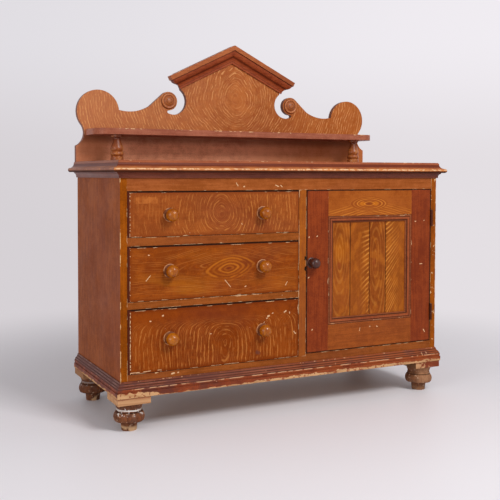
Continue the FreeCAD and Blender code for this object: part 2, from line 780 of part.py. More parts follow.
def gallery_fittings():
    """The narrow shelf on two turned columns, and the turned bosses on the scroll eyes."""
    half_length = "gallery_shelf_half"
    corner = "gallery_shelf_corner * (1 - cos(45))"
    half = [
        ("0", "-gallery_shelf_depth"),
        (f"{half_length} - gallery_shelf_corner", "-gallery_shelf_depth"),
        (f"{half_length} - {corner}", f"{corner} - gallery_shelf_depth",
         half_length, "gallery_shelf_corner - gallery_shelf_depth"),
        (half_length, "0"),
        ("0", "0"),
    ]
    shelf = padded("gallery_shelf", "XY_Plane", half[1:-1] + reflected(half)[:-1], "gallery_shelf_thickness")
    node(place(shelf, y="gallery_front", z="gallery_shelf_bottom"), "gallery_shelf")

    column_outline = [
        ("0", "0"),
        ("column_base_diameter / 2", "0"),
        ("column_base_diameter / 2", "column_base_height"),
        ("column_waist_diameter / 2", "column_waist_top"),
        ("column_ring_diameter / 2", "column_waist_top + column_ring_height / 2",
         "column_groove_diameter / 2", "column_ring_top"),
        ("column_vase_diameter / 2", "column_ring_top + column_vase_belly",
         "column_shoulder_diameter / 2", "column_ring_top + column_shoulder_rise"),
        ("column_neck_diameter / 2", "column_vase_top"),
        ("column_neck_diameter / 2", "column_neck_top"),
        ("column_cap_diameter / 2", "column_neck_top + column_cap_taper"),
        ("column_cap_diameter / 2", "column_height"),
        ("0", "column_height"),
    ]
    button = "boss_button_diameter / 2"
    button_rise = "(boss_height - boss_groove_height)"
    button_sphere = f"(({button}) ^ 2 + {button_rise} ^ 2) / (2 * {button_rise})"
    boss_outline = [
        ("0", "0"),
        ("boss_diameter / 2", "0"),
        ("boss_diameter / 2 - boss_ring_width / 3", "boss_ring_height",
         "boss_diameter / 2 - boss_ring_width", "boss_groove_height"),
        (button, "boss_groove_height"),
        (f"{button} / 2", f"boss_height - {button_sphere} + sqrt(({button_sphere}) ^ 2 - ({button} / 2) ^ 2)",
         "0", "boss_height"),
    ]
    columns = []
    bosses = []
    for side, sign in (("left", "-"), ("right", "")):
        column = turned(f"column_{side}", column_outline)
        columns.append(place(column, f"{sign}column_x", "column_y", "top_surface"))
        boss = turn(turned(f"boss_{side}", boss_outline), (1, 0, 0), 90)
        bosses.append(place(boss, f"{sign}scroll_x", "gallery_front", "top_surface + scroll_height"))
    node(group("gallery_columns", columns), "gallery_columns")
    node(group("scroll_bosses", bosses), "scroll_bosses")


def drawer_knob(name, x, z):
    """A turned knob with a flange, a ball and a tenon into the drawer front."""
    neck = "knob_neck_diameter / 2"
    ball = "knob_ball_diameter / 2"
    outline = [
        ("0", "-knob_tenon_length"),
        ("knob_tenon_diameter / 2", "-knob_tenon_length"),
        ("knob_tenon_diameter / 2", "0"),
        ("knob_flange_diameter / 2", "0"),
        ("knob_flange_diameter / 2", "knob_flange_thickness / 2"),
        (neck, "knob_flange_thickness"),
        (neck, "knob_neck_end"),
        (ball, "knob_ball_centre", "0", "knob_projection"),
    ]
    return place(turn(turned(name, outline), (1, 0, 0), 90), x, "front_face", z)


def drawer(name, low, high, knob_height, tails):
    """One drawer: sides dovetailed into the front, a back between them, and a bottom in grooves."""
    bottom_edge = f"{low} + running_gap"
    front_top = f"{high} - drawer_top_gap"
    side_height = f"({front_top} - drawer_side_drop - ({bottom_edge}))"
    panel_low = f"{bottom_edge} + drawer_bottom_rise"
    panel_high = f"{panel_low} + drawer_bottom_thickness"
    inside = ("drawer_left + drawer_side_thickness", "drawer_right - drawer_side_thickness")

    bottom = board(name + "_bottom",
                   (f"{inside[0]} - drawer_groove_depth", f"{inside[1]} + drawer_groove_depth"),
                   ("front_inside - drawer_groove_depth", "drawer_rear"), (panel_low, panel_high))
    outline = [
        ("drawer_length", "0"),
        ("drawer_length", side_height),
        ("drawer_front_thickness", side_height),
    ]
    tail_tip = "drawer_front_thickness - dovetail_length"
    pitch = f"{side_height} / {tails}"
    for k in reversed(range(tails)):
        middle = f"{pitch} * {k + 0.5}"
        half = f"{pitch} * {TAIL_SHARE}"
        outline += [
            ("drawer_front_thickness", f"{middle} + {half}"),
            (tail_tip, f"{middle} + {half} + dovetail_flare"),
            (tail_tip, f"{middle} - {half} - dovetail_flare"),
            ("drawer_front_thickness", f"{middle} - {half}"),
        ]
    outline.append(("drawer_front_thickness", "0"))
    sides = []
    for x in ("drawer_left", "drawer_right - drawer_side_thickness"):
        blank = padded(f"{name}_side_blank_{len(sides) + 1}", "YZ_Plane", outline, "drawer_side_thickness")
        place(blank, x, "front_face", bottom_edge)
        sides.append(cut(f"{name}_side_{len(sides) + 1}", blank, [bottom]))

    knobs = [
        drawer_knob(name + "_knob_left", "drawer_left + knob_inset", f"{low} + {knob_height}"),
        drawer_knob(name + "_knob_right", "drawer_right - knob_inset", f"{low} + {knob_height}"),
    ]
    blank = board(name + "_front_blank", ("drawer_left", "drawer_right"), ("front_face", "front_inside"),
                  (bottom_edge, front_top))
    node(cut(name + "_front", blank, sides + [bottom] + knobs), name + "_front")
    node(group(name + "_sides", sides), name + "_sides")
    node(board(name + "_back", inside, ("drawer_rear - drawer_back_thickness", "drawer_rear"),
               (panel_high, f"{front_top} - drawer_side_drop - drawer_back_drop")), name + "_back")
    node(bottom, name + "_bottom")
    node(group(name + "_knobs", knobs), name + "_knobs")


def hinges():
    """Two butt hinges: leaves let into the door and the right side, barrels in front, pins and screws."""
    leaves = {"frame": [], "door": []}
    screws = {"frame": [], "door": []}
    pins = []
    radius = "hinge_barrel_diameter / 2"
    step = f"hinge_length / {HINGE_KNUCKLES}"
    plates = {
        "frame": ("inner_right", "inner_right + hinge_leaf_thickness"),
        "door": ("door_right - hinge_leaf_thickness", "door_right"),
    }
    for number, low in ((1, "door_bottom + hinge_inset"), (2, "door_top - hinge_inset - hinge_length")):
        bore = rod(f"hinge_bore_{number}", "hinge_pin_diameter / 2 + hinge_pin_clearance", "hinge_length",
                   "pin_x", "pin_y", low)
        for side, across in plates.items():
            mark = f"{side}_{number}"
            pieces = [board(f"hinge_plate_{mark}", across, ("front_face", "front_face + hinge_leaf_width"),
                            (low, f"{low} + hinge_length"))]
            for k in range(0 if side == "frame" else 1, HINGE_KNUCKLES, 2):
                start = f"{low} + {k} * {step} + hinge_knuckle_gap / 2"
                length = f"{step} - hinge_knuckle_gap"
                pieces.append(rod(f"hinge_barrel_{mark}_{k}", radius, length, "pin_x", "pin_y", start))
                pieces.append(board(f"hinge_neck_{mark}_{k}", across, ("pin_y", "front_face"),
                                    (start, f"{start} + {length}")))
            leaf = cut(f"hinge_leaf_blank_{mark}", fuse(f"hinge_plate_and_barrel_{mark}", pieces), [bore])
            own_screws = []
            for k in range(SCREWS_PER_LEAF):
                height = f"{low} + hinge_length * {k + 0.5} / {SCREWS_PER_LEAF}"
                own_screws.append(hinge_screw(f"hinge_screw_{mark}_{k}", side, height))
            screws[side] += own_screws
            leaves[side].append(cut(f"hinge_leaf_{mark}", leaf, own_screws))
        shaft = rod(f"hinge_shaft_{number}", "hinge_pin_diameter / 2", "hinge_length", "pin_x", "pin_y", low)
        head = rod(f"hinge_pin_head_{number}", "hinge_pin_head_diameter / 2", "hinge_pin_head_height",
                   "pin_x", "pin_y", f"{low} + hinge_length - hinge_knuckle_gap / 2")
        pins.append(fuse(f"hinge_pin_{number}", [shaft, head]))
    node(group("hinge_frame_leaves", leaves["frame"]), "hinge_frame_leaves")
    node(group("hinge_door_leaves", leaves["door"]), "hinge_door_leaves")
    node(group("hinge_pins", pins), "hinge_pins")
    node(group("hinge_frame_screws", screws["frame"]), "hinge_frame_screws")
    node(group("hinge_door_screws", screws["door"]), "hinge_door_screws")
    return leaves["frame"] + screws["frame"], leaves["door"] + screws["door"]


def hinge_screw(name, side, height):
    """A countersunk screw, flush with a leaf and square to it."""
    outline = [
        ("0", "0"),
        ("hinge_screw_head_diameter / 2", "0"),
        ("hinge_screw_diameter / 2", "hinge_leaf_thickness"),
        ("hinge_screw_diameter / 2", "hinge_screw_length"),
        ("0", "hinge_screw_length"),
    ]
    start, quarter_turn = ("inner_right", 90) if side == "frame" else ("door_right", -90)
    piece = turn(turned(name, outline), (0, 1, 0), quarter_turn)
    return place(piece, start, "front_face + hinge_screw_inset", height)


def door_panel_boards():
    """Four upright boards with vee joints, held in grooves all round."""
    width = "(panel_right - panel_left)"
    edges = ["panel_left - door_groove_depth",
             f"panel_left + {width} / 4 + panel_joint_shift_1",
             f"panel_left + {width} / 2 + panel_joint_shift_2",
             f"panel_left + {width} * 3 / 4 - panel_joint_shift_3",
             "panel_right + door_groove_depth"]
    boards = []
    for left, right in zip(edges, edges[1:]):
        outline = [
            (left, "panel_back"),
            (left, "panel_face + panel_vee"),
            (f"{left} + panel_vee", "panel_face"),
            (f"{right} - panel_vee", "panel_face"),
            (right, "panel_face + panel_vee"),
            (right, "panel_back"),
        ]
        piece = padded(f"panel_board_number_{len(boards) + 1}", "XY_Plane", outline,
                       "panel_top - panel_bottom + 2 * door_groove_depth")
        boards.append(place(piece, z="panel_bottom - door_groove_depth"))
    return boards


def door_panel_moulding():
    """Four mitred lengths of moulding in front of the panel, against the frame's inner edges."""
    width = "(panel_right - panel_left)"
    height = "(panel_top - panel_bottom)"
    inset = "panel_moulding_width"
    profile = [
        ("0", "0"),
        (inset, "0"),
        (inset, "panel_moulding_lip"),
        (f"({inset} + panel_moulding_flat) / 2 + panel_moulding_sag",
         "(panel_moulding_lip + panel_recess) / 2 + panel_moulding_sag",
         "panel_moulding_flat", "panel_recess"),
        ("0", "panel_recess"),
    ]
    plan = remapped(profile, lambda across, out: (across, f"-({out})"))
    upright = padded("panel_moulding_upright_run", "XY_Plane", plan, height)
    place(upright, "panel_left", "panel_face", "panel_bottom")
    upright_ends = padded("panel_moulding_upright_ends", "XZ_Plane", [
        ("0", "0"), (inset, inset), (inset, f"{height} - {inset}"), ("0", height)], "panel_recess")
    place(upright_ends, "panel_left", "panel_face", "panel_bottom")
    section = remapped(profile, lambda across, out: (f"-({out})", across))
    level = padded("panel_moulding_level_run", "YZ_Plane", section, width)
    place(level, "panel_left", "panel_face", "panel_bottom")
    level_ends = padded("panel_moulding_level_ends", "XZ_Plane", [
        ("0", "0"), (inset, inset), (f"{width} - {inset}", inset), (width, "0")], "panel_recess")
    place(level_ends, "panel_left", "panel_face", "panel_bottom")
    left = common("panel_moulding_left", upright, upright_ends)
    bottom = common("panel_moulding_bottom", level, level_ends)
    right = mirror("panel_moulding_right", left, (1, 0, 0), x="(panel_left + panel_right) / 2")
    top = mirror("panel_moulding_top", bottom, (0, 0, 1), z="(panel_bottom + panel_top) / 2")
    return [left, right, bottom, top]


def door(hinge_tools):
    """A framed door: tenoned rails between stiles, a boarded panel in grooves, and a moulding round it."""
    deep = ("front_face", "door_back")
    boards = door_panel_boards()
    tenon_span = ("panel_left - door_tenon_length", "panel_right + door_tenon_length")
    tenon_deep = ("tenon_front", "tenon_front + door_tenon_thickness")
    rails = []
    for name, low, high in (("door_top_rail", "panel_top", "door_top"),
                            ("door_bottom_rail", "door_bottom", "panel_bottom")):
        body = board(name + "_body", ("panel_left", "panel_right"), deep, (low, high))
        tenon = board(name + "_tenon", tenon_span, tenon_deep,
                      (f"{low} + door_tenon_shoulder", f"{high} - door_tenon_shoulder"))
        rails.append(cut(name, fuse(name + "_blank", [body, tenon]), boards))
        node(rails[-1], name)
    upright = ("door_bottom", "door_top")
    bore_radius = "spindle_diameter / 2 + spindle_clearance"
    spindle_bore = rod("spindle_bore", bore_radius, "door_thickness", "0", "0", "0")
    place(turn(spindle_bore, (1, 0, 0), -90), "latch_x", "front_face", "latch_z")
    latch_blank = board("door_latch_stile_blank", ("door_left", "panel_left"), deep, upright)
    hinge_blank = board("door_hinge_stile_blank", ("panel_right", "door_right"), deep, upright)
    node(cut("door_latch_stile", latch_blank, rails + boards[:1] + [spindle_bore]), "door_latch_stile")
    node(cut("door_hinge_stile", hinge_blank, rails + boards[-1:] + hinge_tools), "door_hinge_stile")
    node(group("door_panel_boards", boards), "door_panel_boards")
    node(group("door_panel_moulding", door_panel_moulding()), "door_panel_moulding")


def turn_latch():
    """A knob on a spindle through the door, with a tongue that swings behind the centre stile."""
    rose_outline = [
        ("spindle_diameter / 2 + spindle_clearance", "0"),
        ("rose_diameter / 2", "0"),
        ("rose_diameter / 2", "rose_thickness / 3"),
        ("rose_diameter / 2 - rose_thickness", "rose_thickness"),
        ("spindle_diameter / 2 + spindle_clearance", "rose_thickness"),
    ]
    rose = turn(turned("door_knob_rose", rose_outline), (1, 0, 0), 90)
    node(place(rose, "latch_x", "front_face", "latch_z"), "door_knob_rose")

    spindle_length = "tongue_front + tongue_thickness - latch_knob_back + spindle_socket"
    spindle = rod("latch_spindle", "spindle_diameter / 2", spindle_length, "0", "0", "0")
    place(turn(spindle, (1, 0, 0), -90), "latch_x", "latch_knob_back - spindle_socket", "latch_z")
    half = "tongue_width / 2"
    tip_middle = f"{half} - tongue_reach"
    tongue_outline = [
        (f"-{half}", tip_middle),
        ("0", "-tongue_reach", half, tip_middle),
        (half, "0"),
        ("0", half, f"-{half}", "0"),
    ]
    blade_blank = padded("latch_blade_blank", "XZ_Plane", tongue_outline, "tongue_thickness")
    place(blade_blank, "latch_x", "tongue_front + tongue_thickness", "latch_z")
    blade = cut("latch_blade", blade_blank, [spindle])
    node(group("latch_tongue", [spindle, blade]), "latch_tongue")

    ball = "latch_knob_diameter / 2"
    neck = "latch_knob_neck_diameter / 2"
    knob_outline = [
        ("0", "0"),
        ("latch_knob_foot_diameter / 2", "0"),
        (neck, "latch_knob_foot_height"),
        (ball, "latch_ball_centre", "0", f"latch_ball_centre + {ball}"),
    ]
    knob_blank = turn(turned("door_knob_blank", knob_outline), (1, 0, 0), 90)
    place(knob_blank, "latch_x", "latch_knob_back", "latch_z")
    node(cut("door_knob", knob_blank, [spindle]), "door_knob")


def main():
    carcass_boards()
    front_frame()
    drawer_supports()
    cupboard_inside()
    worktop()
    base()
    gallery_backboard()
    pediment()
    gallery_fittings()
    drawer("drawer_1", "opening_1_bottom", "opening_1_top", "knob_height_1", 3)
    drawer("drawer_2", "opening_2_bottom", "opening_2_top", "knob_height_2", 3)
    drawer("drawer_3", "opening_3_bottom", "opening_3_top", "knob_height_3", 4)
    frame_tools, door_tools = hinges()
    right_blank = board("side_panel_right_blank", ("inner_right", "right_face"), ("front_face", "rear_face"),
                        ("carcass_bottom", "carcass_top"))
    node(cut("side_panel_right", right_blank, frame_tools), "side_panel_right")
    door(door_tools)
    turn_latch()

    doc.recompute()
    failed = [piece.Label for piece in doc.Objects if {"Invalid", "Error"} & set(piece.State)]
    for piece in nodes:
        if piece.Shape.isNull() or not piece.Shape.isValid():
            failed.append(piece.Label)
    if failed:
        raise RuntimeError("failed objects: " + ", ".join(failed))
    os.makedirs("parts", exist_ok=True)
    for piece in nodes:
        piece.Shape.exportStep(f"parts/{piece.Label}.step")
    print(len(nodes), "sub-parts written")


main()
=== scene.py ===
"""Looks for a painted and grained pine dresser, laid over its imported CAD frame.

The object coordinates of every node are metres in the part's own frame, so each pattern is placed by where it
lies on the furniture: X to the right, Y to the back, Z up.
"""

import math

import bmesh
import bpy
from mathutils import Matrix, Vector


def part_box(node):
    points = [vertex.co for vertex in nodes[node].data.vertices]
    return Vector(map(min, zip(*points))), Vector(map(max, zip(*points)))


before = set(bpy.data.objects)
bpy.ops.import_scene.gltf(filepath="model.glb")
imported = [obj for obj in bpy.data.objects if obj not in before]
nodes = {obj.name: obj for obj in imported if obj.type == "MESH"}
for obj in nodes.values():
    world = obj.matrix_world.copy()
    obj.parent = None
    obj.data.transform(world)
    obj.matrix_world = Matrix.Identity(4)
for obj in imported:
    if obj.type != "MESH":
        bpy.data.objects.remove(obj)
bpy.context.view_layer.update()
scene = bpy.context.scene

MM = 0.001


def tone(red, green, blue):
    """A colour as it looks on a screen, 0 to 255, as the linear colour that a shader takes."""

    def linear(value):
        share = value / 255
        return share / 12.92 if share <= 0.04045 else ((share + 0.055) / 1.055) ** 2.4

    return (linear(red), linear(green), linear(blue), 1)


# Paint, wood and metal colours.
STROKE = tone(206, 132, 62)
GLOW = tone(176, 102, 20)
RED_BROWN = tone(140, 60, 22)
RED_BROWN_DARK = tone(112, 42, 14)
SIDE_PAINT = tone(154, 82, 38)
SIDE_DARK = tone(122, 58, 22)
FRAME_PAINT = tone(162, 88, 40)
FRAME_DARK = tone(136, 68, 20)
RAIL_PAINT = tone(152, 81, 30)
RAIL_DARK = tone(126, 63, 14)
STILE_PAINT = tone(156, 80, 12)
STILE_DARK = tone(124, 60, 4)
GALLERY = tone(176, 100, 48)
GALLERY_DARK = tone(152, 80, 34)
GALLERY_STROKE = tone(220, 156, 98)
CHIP = tone(221, 180, 136)
WORN_PINE = tone(206, 160, 116)
SMOKE = tone(116, 52, 34)
DARK_EDGE = tone(78, 30, 16)
# Dark for painted shade in gaps and under edges, and for dirt in joints.
SHADE_AND_GRIME = tone(44, 20, 12)
# Near black for holes, painted as the shade inside them.
HOLE_SHADE = tone(22, 12, 8)
PINE_LIGHT = tone(204, 162, 110)
PINE_DARK = tone(164, 112, 66)
OLD_PINE_LIGHT = tone(168, 122, 78)
OLD_PINE_DARK = tone(128, 84, 48)
KNOT = tone(92, 52, 26)
STEEL = tone(92, 84, 78)
RUST = tone(78, 46, 30)

# Places of the grain figures, as X and Z on the front.
TOP_DRAWER_EYE = (-0.272, 0.692)
MIDDLE_DRAWER_EYE = (-0.248, 0.509)
BOTTOM_DRAWER_EYE = (-0.26, 0.262)
DOOR_RAIL_EYE = (0.318, 0.717)
GALLERY_EYE = (0.017, 1.117)
LEFT_BOARD_EYE = (0.2, 0.54)
RIGHT_BOARD_EYE = (0.356, 0.513)
BOARD_GLOW = (0.202, 0.548)
BOARD_HEARTS = ((0.195, 0.497), (0.35, 0.5))
# How far the arches on the bottom drawer rise above their eye.
ARCH_RISE = 0.103
# The lost label: its middle, and half of its width and height.
LABEL_MIDDLE = (-0.536, 0.739)
LABEL_HALF = (0.039, 0.012)
# Widths of the painted shade in the gaps at the left, right, bottom and top of a drawer front; at the left it
# is also a worn dark edge.
DRAWER_GAPS = (7.5 * MM, 1 * MM, 1.8 * MM, 4.4 * MM)
# Where the four boards of the door panel meet.
PANEL_JOINTS = (244.5 * MM, 328.5 * MM, 400.5 * MM)
# Height below which the strokes beside the joints slant more.
SLANT_TOP = 0.62
# Slope of the pediment, and the number of boards in the back.
PEDIMENT_SLOPE = math.radians(26.2)
BACK_BOARDS = 9
# Where the neck of a knob begins behind its tip, as the two ends of a soft change.
KNOB_NECK = (33 * MM, 37 * MM)
# Heights on a foot: its grooves, the top of its peg, and the white line with the ends of its drips.
FOOT_GROOVES = (31 * MM, 62 * MM)
PEG_TOP = (30 * MM, 33 * MM)
WHITE_LINE = 69 * MM
DRIP_FOOT, DRIP_TOP = (50 * MM, 58 * MM), (78 * MM, 84 * MM)
# The floor, which fades into the backdrop between two distances from the object.
FLOOR_RADIUS = 40
FLOOR_FADE = (0.85, 2.4)


def operator(operation):
    """A method that works one sum of the shader on a field and, where it takes one, a second term."""

    def apply(self, other=0):
        return self.coat.math(operation, self, other)

    return apply


class Field:
    """A number that varies over a surface: one shader socket, with arithmetic."""

    __add__ = __radd__ = operator("ADD")
    __sub__ = operator("SUBTRACT")
    __mul__ = __rmul__ = operator("MULTIPLY")
    __truediv__ = operator("DIVIDE")
    at_most = operator("MINIMUM")
    at_least = operator("MAXIMUM")
    size = operator("ABSOLUTE")
    whole = operator("FLOOR")
    part = operator("FRACT")
    root = operator("SQRT")

    def __init__(self, coat, socket):
        self.coat = coat
        self.socket = socket

    def __rsub__(self, other):
        return self.coat.math("SUBTRACT", other, self)

    def __neg__(self):
        return 0 - self


class Layer:
    """One finish of a surface: its colour, roughness and height, each a field or a plain value."""

    def __init__(self, colour, roughness, height=0):
        self.colour = colour
        self.roughness = roughness
        self.height = height


EVEN = (1, 1, 1)


class Coat:
    """A material, or the world, being built: its node tree and the fields that its patterns are made of."""

    def __init__(self, owner, place="Object"):
        owner.use_nodes = True
        self.owner = owner
        self.tree = owner.node_tree
        self.tree.nodes.clear()
        coordinates = self.add("ShaderNodeTexCoord")
        self.place = coordinates.outputs[place]
        self.x, self.y, self.z = self.split(self.place)
        self.facing_x, self.facing_y, self.facing_z = self.split(coordinates.outputs["Normal"])

    def add(self, kind, inputs=None, **settings):
        """A new shader node with its settings, and its inputs by name or number."""
        made = self.tree.nodes.new(kind)
        for name, value in settings.items():
            setattr(made, name, value)
        for name, value in (inputs or {}).items():
            self.feed(made.inputs[name], value)
        return made

    def feed(self, socket, value):
        if isinstance(value, Field):
            value = value.socket
        if isinstance(value, bpy.types.NodeSocket):
            self.tree.links.new(value, socket)
        else:
            socket.default_value = value

    def split(self, vector):
        axes = self.add("ShaderNodeSeparateXYZ", {0: vector})
        return [Field(self, socket) for socket in axes.outputs]

    def math(self, operation, first, second):
        made = self.add("ShaderNodeMath", {0: first, 1: second}, operation=operation)
        return Field(self, made.outputs[0])

    def smooth(self, low, high, field):
        """0 below low, 1 above high, and an S-shaped rise between them."""
        inputs = {"Value": field, "From Min": low, "From Max": high}
        made = self.add("ShaderNodeMapRange", inputs, interpolation_type="SMOOTHSTEP")
        return Field(self, made.outputs["Result"])

    def fall(self, low, high, field):
        """1 below low and 0 above high."""
        return 1 - self.smooth(low, high, field)

    def faces(self, share):
        """1 where a surface faces a direction, by the share of its normal along it."""
        return self.smooth(0.4, 0.6, share)

    def scaled(self, scale, stretch):
        scales = [scale * share for share in stretch]
        return self.add("ShaderNodeMapping", {"Vector": self.place, "Scale": scales}).outputs[0]

    def noise(self, scale, detail=3, seed=0, stretch=EVEN):
        """Cloudy noise about 0.5. A seed that is a field gives each board or stroke its own noise."""
        inputs = {"Vector": self.scaled(scale, stretch), "W": seed, "Scale": 1, "Detail": detail}
        made = self.add("ShaderNodeTexNoise", inputs, noise_dimensions="4D")
        return Field(self, made.outputs["Fac"])

    def patches(self, low, high, *noise):
        """1 where a noise is over high, and 0 where it is below low."""
        return self.smooth(low, high, self.noise(*noise))

    def ragged(self, width, *noise):
        """A length that wavers about 0, most of it within half of width."""
        return (self.noise(*noise) - 0.5) * width

    def cells(self, scale, seed=0, stretch=EVEN):
        """Distance to the nearest of a set of scattered points, and a random number for each point."""
        inputs = {"Vector": self.scaled(scale, stretch), "W": seed, "Scale": 1}
        made = self.add("ShaderNodeTexVoronoi", inputs, voronoi_dimensions="4D")
        chance = self.add("ShaderNodeSeparateColor", {0: made.outputs["Color"]})
        return Field(self, made.outputs["Distance"]), Field(self, chance.outputs[0])

    def mix(self, share, below, above):
        """A colour between two colours."""
        return self.add("ShaderNodeMix", {0: share, 6: below, 7: above}, data_type="RGBA").outputs[2]

    def between(self, share, below, above):
        """A number between two numbers."""
        made = self.add("ShaderNodeMix", {0: share, 2: below, 3: above}, data_type="FLOAT")
        return Field(self, made.outputs[0])

    def over(self, share, below, above):
        """One layer over another, where share is 1."""
        return Layer(
            self.mix(share, below.colour, above.colour),
            self.between(share, below.roughness, above.roughness),
            self.between(share, below.height, above.height),
        )

    def stain(self, share, below, colour, roughness, height=0):
        """A plain finish over a layer, where share is 1."""
        return self.over(share, below, Layer(colour, roughness, height))

    def show(self, shader, output="ShaderNodeOutputMaterial"):
        self.add(output, {"Surface": shader})
        return self.owner

    def finish(self, members, layer, gloss=0.1, metallic=0, rounding=1.2 * MM):
        """Ends the material with one shader, with edges shaded as if rounded, and puts it on the nodes."""
        edges = self.add("ShaderNodeBevel", {"Radius": rounding}, samples=4)
        relief = {"Distance": 1, "Height": layer.height, "Normal": edges.outputs[0]}
        bump = self.add("ShaderNodeBump", relief)
        shader = self.add("ShaderNodeBsdfPrincipled", {
            "Base Color": layer.colour,
            "Roughness": layer.roughness,
            "Normal": bump.outputs[0],
            "Specular IOR Level": gloss,
            "Metallic": metallic,
        })
        material = self.show(shader.outputs[0])
        for node in members:
            mesh = nodes[node].data
            mesh.materials.clear()
            mesh.materials.append(material)


def new_coat(name):
    return Coat(bpy.data.materials.new(name))


def length(first, second):
    """Length of a vector with these two parts."""
    return (first * first + second * second).root()


def pair_radius(coat, node, across):
    """Distance from the axis of the nearer of two turnings side by side, and their outer radius."""
    low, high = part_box(node)
    middle = (low + high) / 2
    outer = getattr(high - middle, across)
    off_x = (coat.x - middle.x).size() - (high.x - outer - middle.x)
    return length(off_x, getattr(coat, across) - getattr(middle, across)), outer


def drawn_out(along, share):
    """Stretch of a noise that is longer along one axis."""
    return [share if axis == along else 1 for axis in "xyz"]


def pine(coat, along, light=OLD_PINE_LIGHT, dark=OLD_PINE_DARK, seed=0):
    """Bare softwood: growth rings drawn out along the grain, fine fibres, stains and a few knots."""
    wander = coat.noise(9, 2, seed, drawn_out(along, 0.12))
    rings = (wander * 16).part()
    late_wood = coat.smooth(0.35, 0.92, rings) * coat.fall(0.92, 1, rings)
    fibre = coat.noise(420, 2, seed, drawn_out(along, 0.02))
    stain = coat.patches(0.35, 0.7, 3, 3, seed)
    distance, chance = coat.cells(7, seed, drawn_out(along, 0.4))
    knot = coat.fall(0.06, 0.11, distance) * coat.smooth(0.86, 0.88, chance)
    share = (late_wood * 0.55 + (fibre - 0.5) * 0.7 + stain * 0.3).at_least(0).at_most(1)
    height = fibre * (0.25 * MM) + late_wood * (0.15 * MM)
    return Layer(coat.mix(knot, coat.mix(share, light, dark), KNOT), 0.72, height)


def brushed(coat, light, dark, along, seed=0, roughness=0.36, streaky=0.4):
    """Brushed paint under varnish: two tones, cloudy over a hand's breadth and streaked along the brush."""
    cloud = coat.noise(6, 4, seed) * 0.6 + coat.noise(42, 3, seed + 2) * 0.4
    streak = coat.noise(190, 4, seed + 4, drawn_out(along, 0.05))
    fleck = coat.noise(260, 3, seed + 3) - 0.5
    share = coat.smooth(0.38, 0.62, cloud * (1 - streaky) + streak * streaky + fleck * 0.3)
    smoke = coat.patches(0.5, 0.72, 4, 4, seed + 6, drawn_out(along, 0.5))
    colour = coat.mix(smoke * 0.35, coat.mix(share, dark, light), SMOKE)
    grit = coat.noise(900, 2, seed)
    shine = coat.noise(14, 3, seed + 9)
    height = streak * (0.1 * MM) + grit * (0.04 * MM)
    return Layer(colour, roughness + (shine - 0.5) * 0.3, height)


def ovals(coat, eye, across, up, down, tilt=0, power=2, ceiling=None):
    """Distance from an eye in the front plane with a stretched ruler, so that its contours are ovals.

    A power below 2 makes the ovals pointed, and tilt is the slope of their long axis. The wide ovals are
    flattened under a ceiling, which is a height above the eye.
    """
    aside = coat.x - eye[0]
    rise = coat.z - eye[1] - aside * tilt
    lift = rise.at_least(0) / up + (-rise).at_least(0) / down
    if ceiling:
        lift = lift + coat.math("POWER", rise.at_least(0) / ceiling, 6) * 0.25
    total = coat.math("POWER", (aside / across).size(), power) + coat.math("POWER", lift, power)
    return coat.math("POWER", total, 1 / power)


def strokes(coat, level, pitch, seed, width=0.42, sway=7 * MM, breaks=(0.36, 0.54), rate=34):
    """Comb strokes along the contours of a level, pitch apart: broken, unsteady and of uneven strength.

    Width is a share of the pitch, and rate is about how many breaks there are in a metre.
    """
    drift = coat.ragged(sway * 4, 8, 2, seed)
    shake = coat.ragged(sway * 0.6, 60, 2, seed + 2)
    turn = (level + drift + shake) / pitch
    line = turn.whole()
    body = coat.patches(breaks[0], breaks[1], rate, 2, line * 1.37 + seed)
    strength = coat.patches(0.25, 0.65, 5, 2, line * 2.11 + seed)
    half = (body * 0.7 + 0.3) * (width * 0.5)
    ridge = coat.fall(half * 0.25, half, (turn.part() - 0.5).size())
    return ridge * body * (strength * 0.7 + 0.3)


def combed(coat, level, pitch, seed, **shape):
    """Bold comb strokes with fainter and finer ones between them."""
    fine = strokes(coat, level, pitch * 0.43, seed + 5, width=0.5, rate=28)
    return strokes(coat, level, pitch, seed, **shape).at_least(fine * 0.45)


def figured(coat, ground, figure, colour=STROKE, *, strength):
    """Light comb strokes over a brushed ground."""
    return coat.stain(figure * strength, ground, colour, 0.4, 0.1 * MM)


def box_gap(coat, node, axes="xz"):
    """How far a point is from the nearest side of a node's box, along the axes that are named."""
    low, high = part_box(node)
    gap = None
    for axis in axes:
        place = getattr(coat, axis)
        near = (place - getattr(low, axis)).at_most(getattr(high, axis) - place)
        gap = gap.at_most(near) if gap else near
    return gap


def inward(coat, node, side):
    """How far a point is from one side of a node's box, as seen from the front."""
    low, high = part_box(node)
    if side in ("left", "right"):
        return coat.x - low.x if side == "left" else high.x - coat.x
    return coat.z - low.z if side == "bottom" else high.z - coat.z


def gap_lines(coat, layer, node, widths, seed):
    """Painted shade in the gaps along the named sides of a node, each band as wide as it says in millimetres.
    """
    ragged = coat.ragged(2 * MM, 70, 3, seed + 8)
    for side, width in widths:
        # A band of painted shade beside each named side, standing for the shadow in the gap.
        line = coat.fall(width * 0.7 * MM, width * 1.2 * MM, inward(coat, node, side) + ragged)
        layer = coat.over(line * 0.9, layer, shade_and_grime_layer)
    return layer


def worn_rim(coat, distance, seed, rim=1.2 * MM, bite=3 * MM, cover=0.08):
    """Where paint is lost along an edge: a broken line as wide as rim, with ragged bites."""
    ragged = coat.noise(150, 4, seed)
    stretch = coat.noise(26, 3, seed + 3)
    worst = coat.noise(9, 2, seed + 5)
    broken = coat.smooth(0.58 - cover, 0.66 - cover, stretch)
    deep = coat.smooth(0.57, 0.7, worst * 0.5 + stretch * 0.5)
    depth = (broken * rim + deep * bite) * (ragged * 1.9 + 0.05)
    return coat.smooth(0, 0.5 * MM, depth - distance)


def specks(coat, seed, amount=0):
    """Small scattered chips, most of them in a few patches."""
    spot = coat.noise(75, 3, seed)
    patch = coat.noise(6, 2, seed + 7)
    return coat.smooth(0.715 - amount, 0.735 - amount, spot * 0.82 + patch * 0.18)


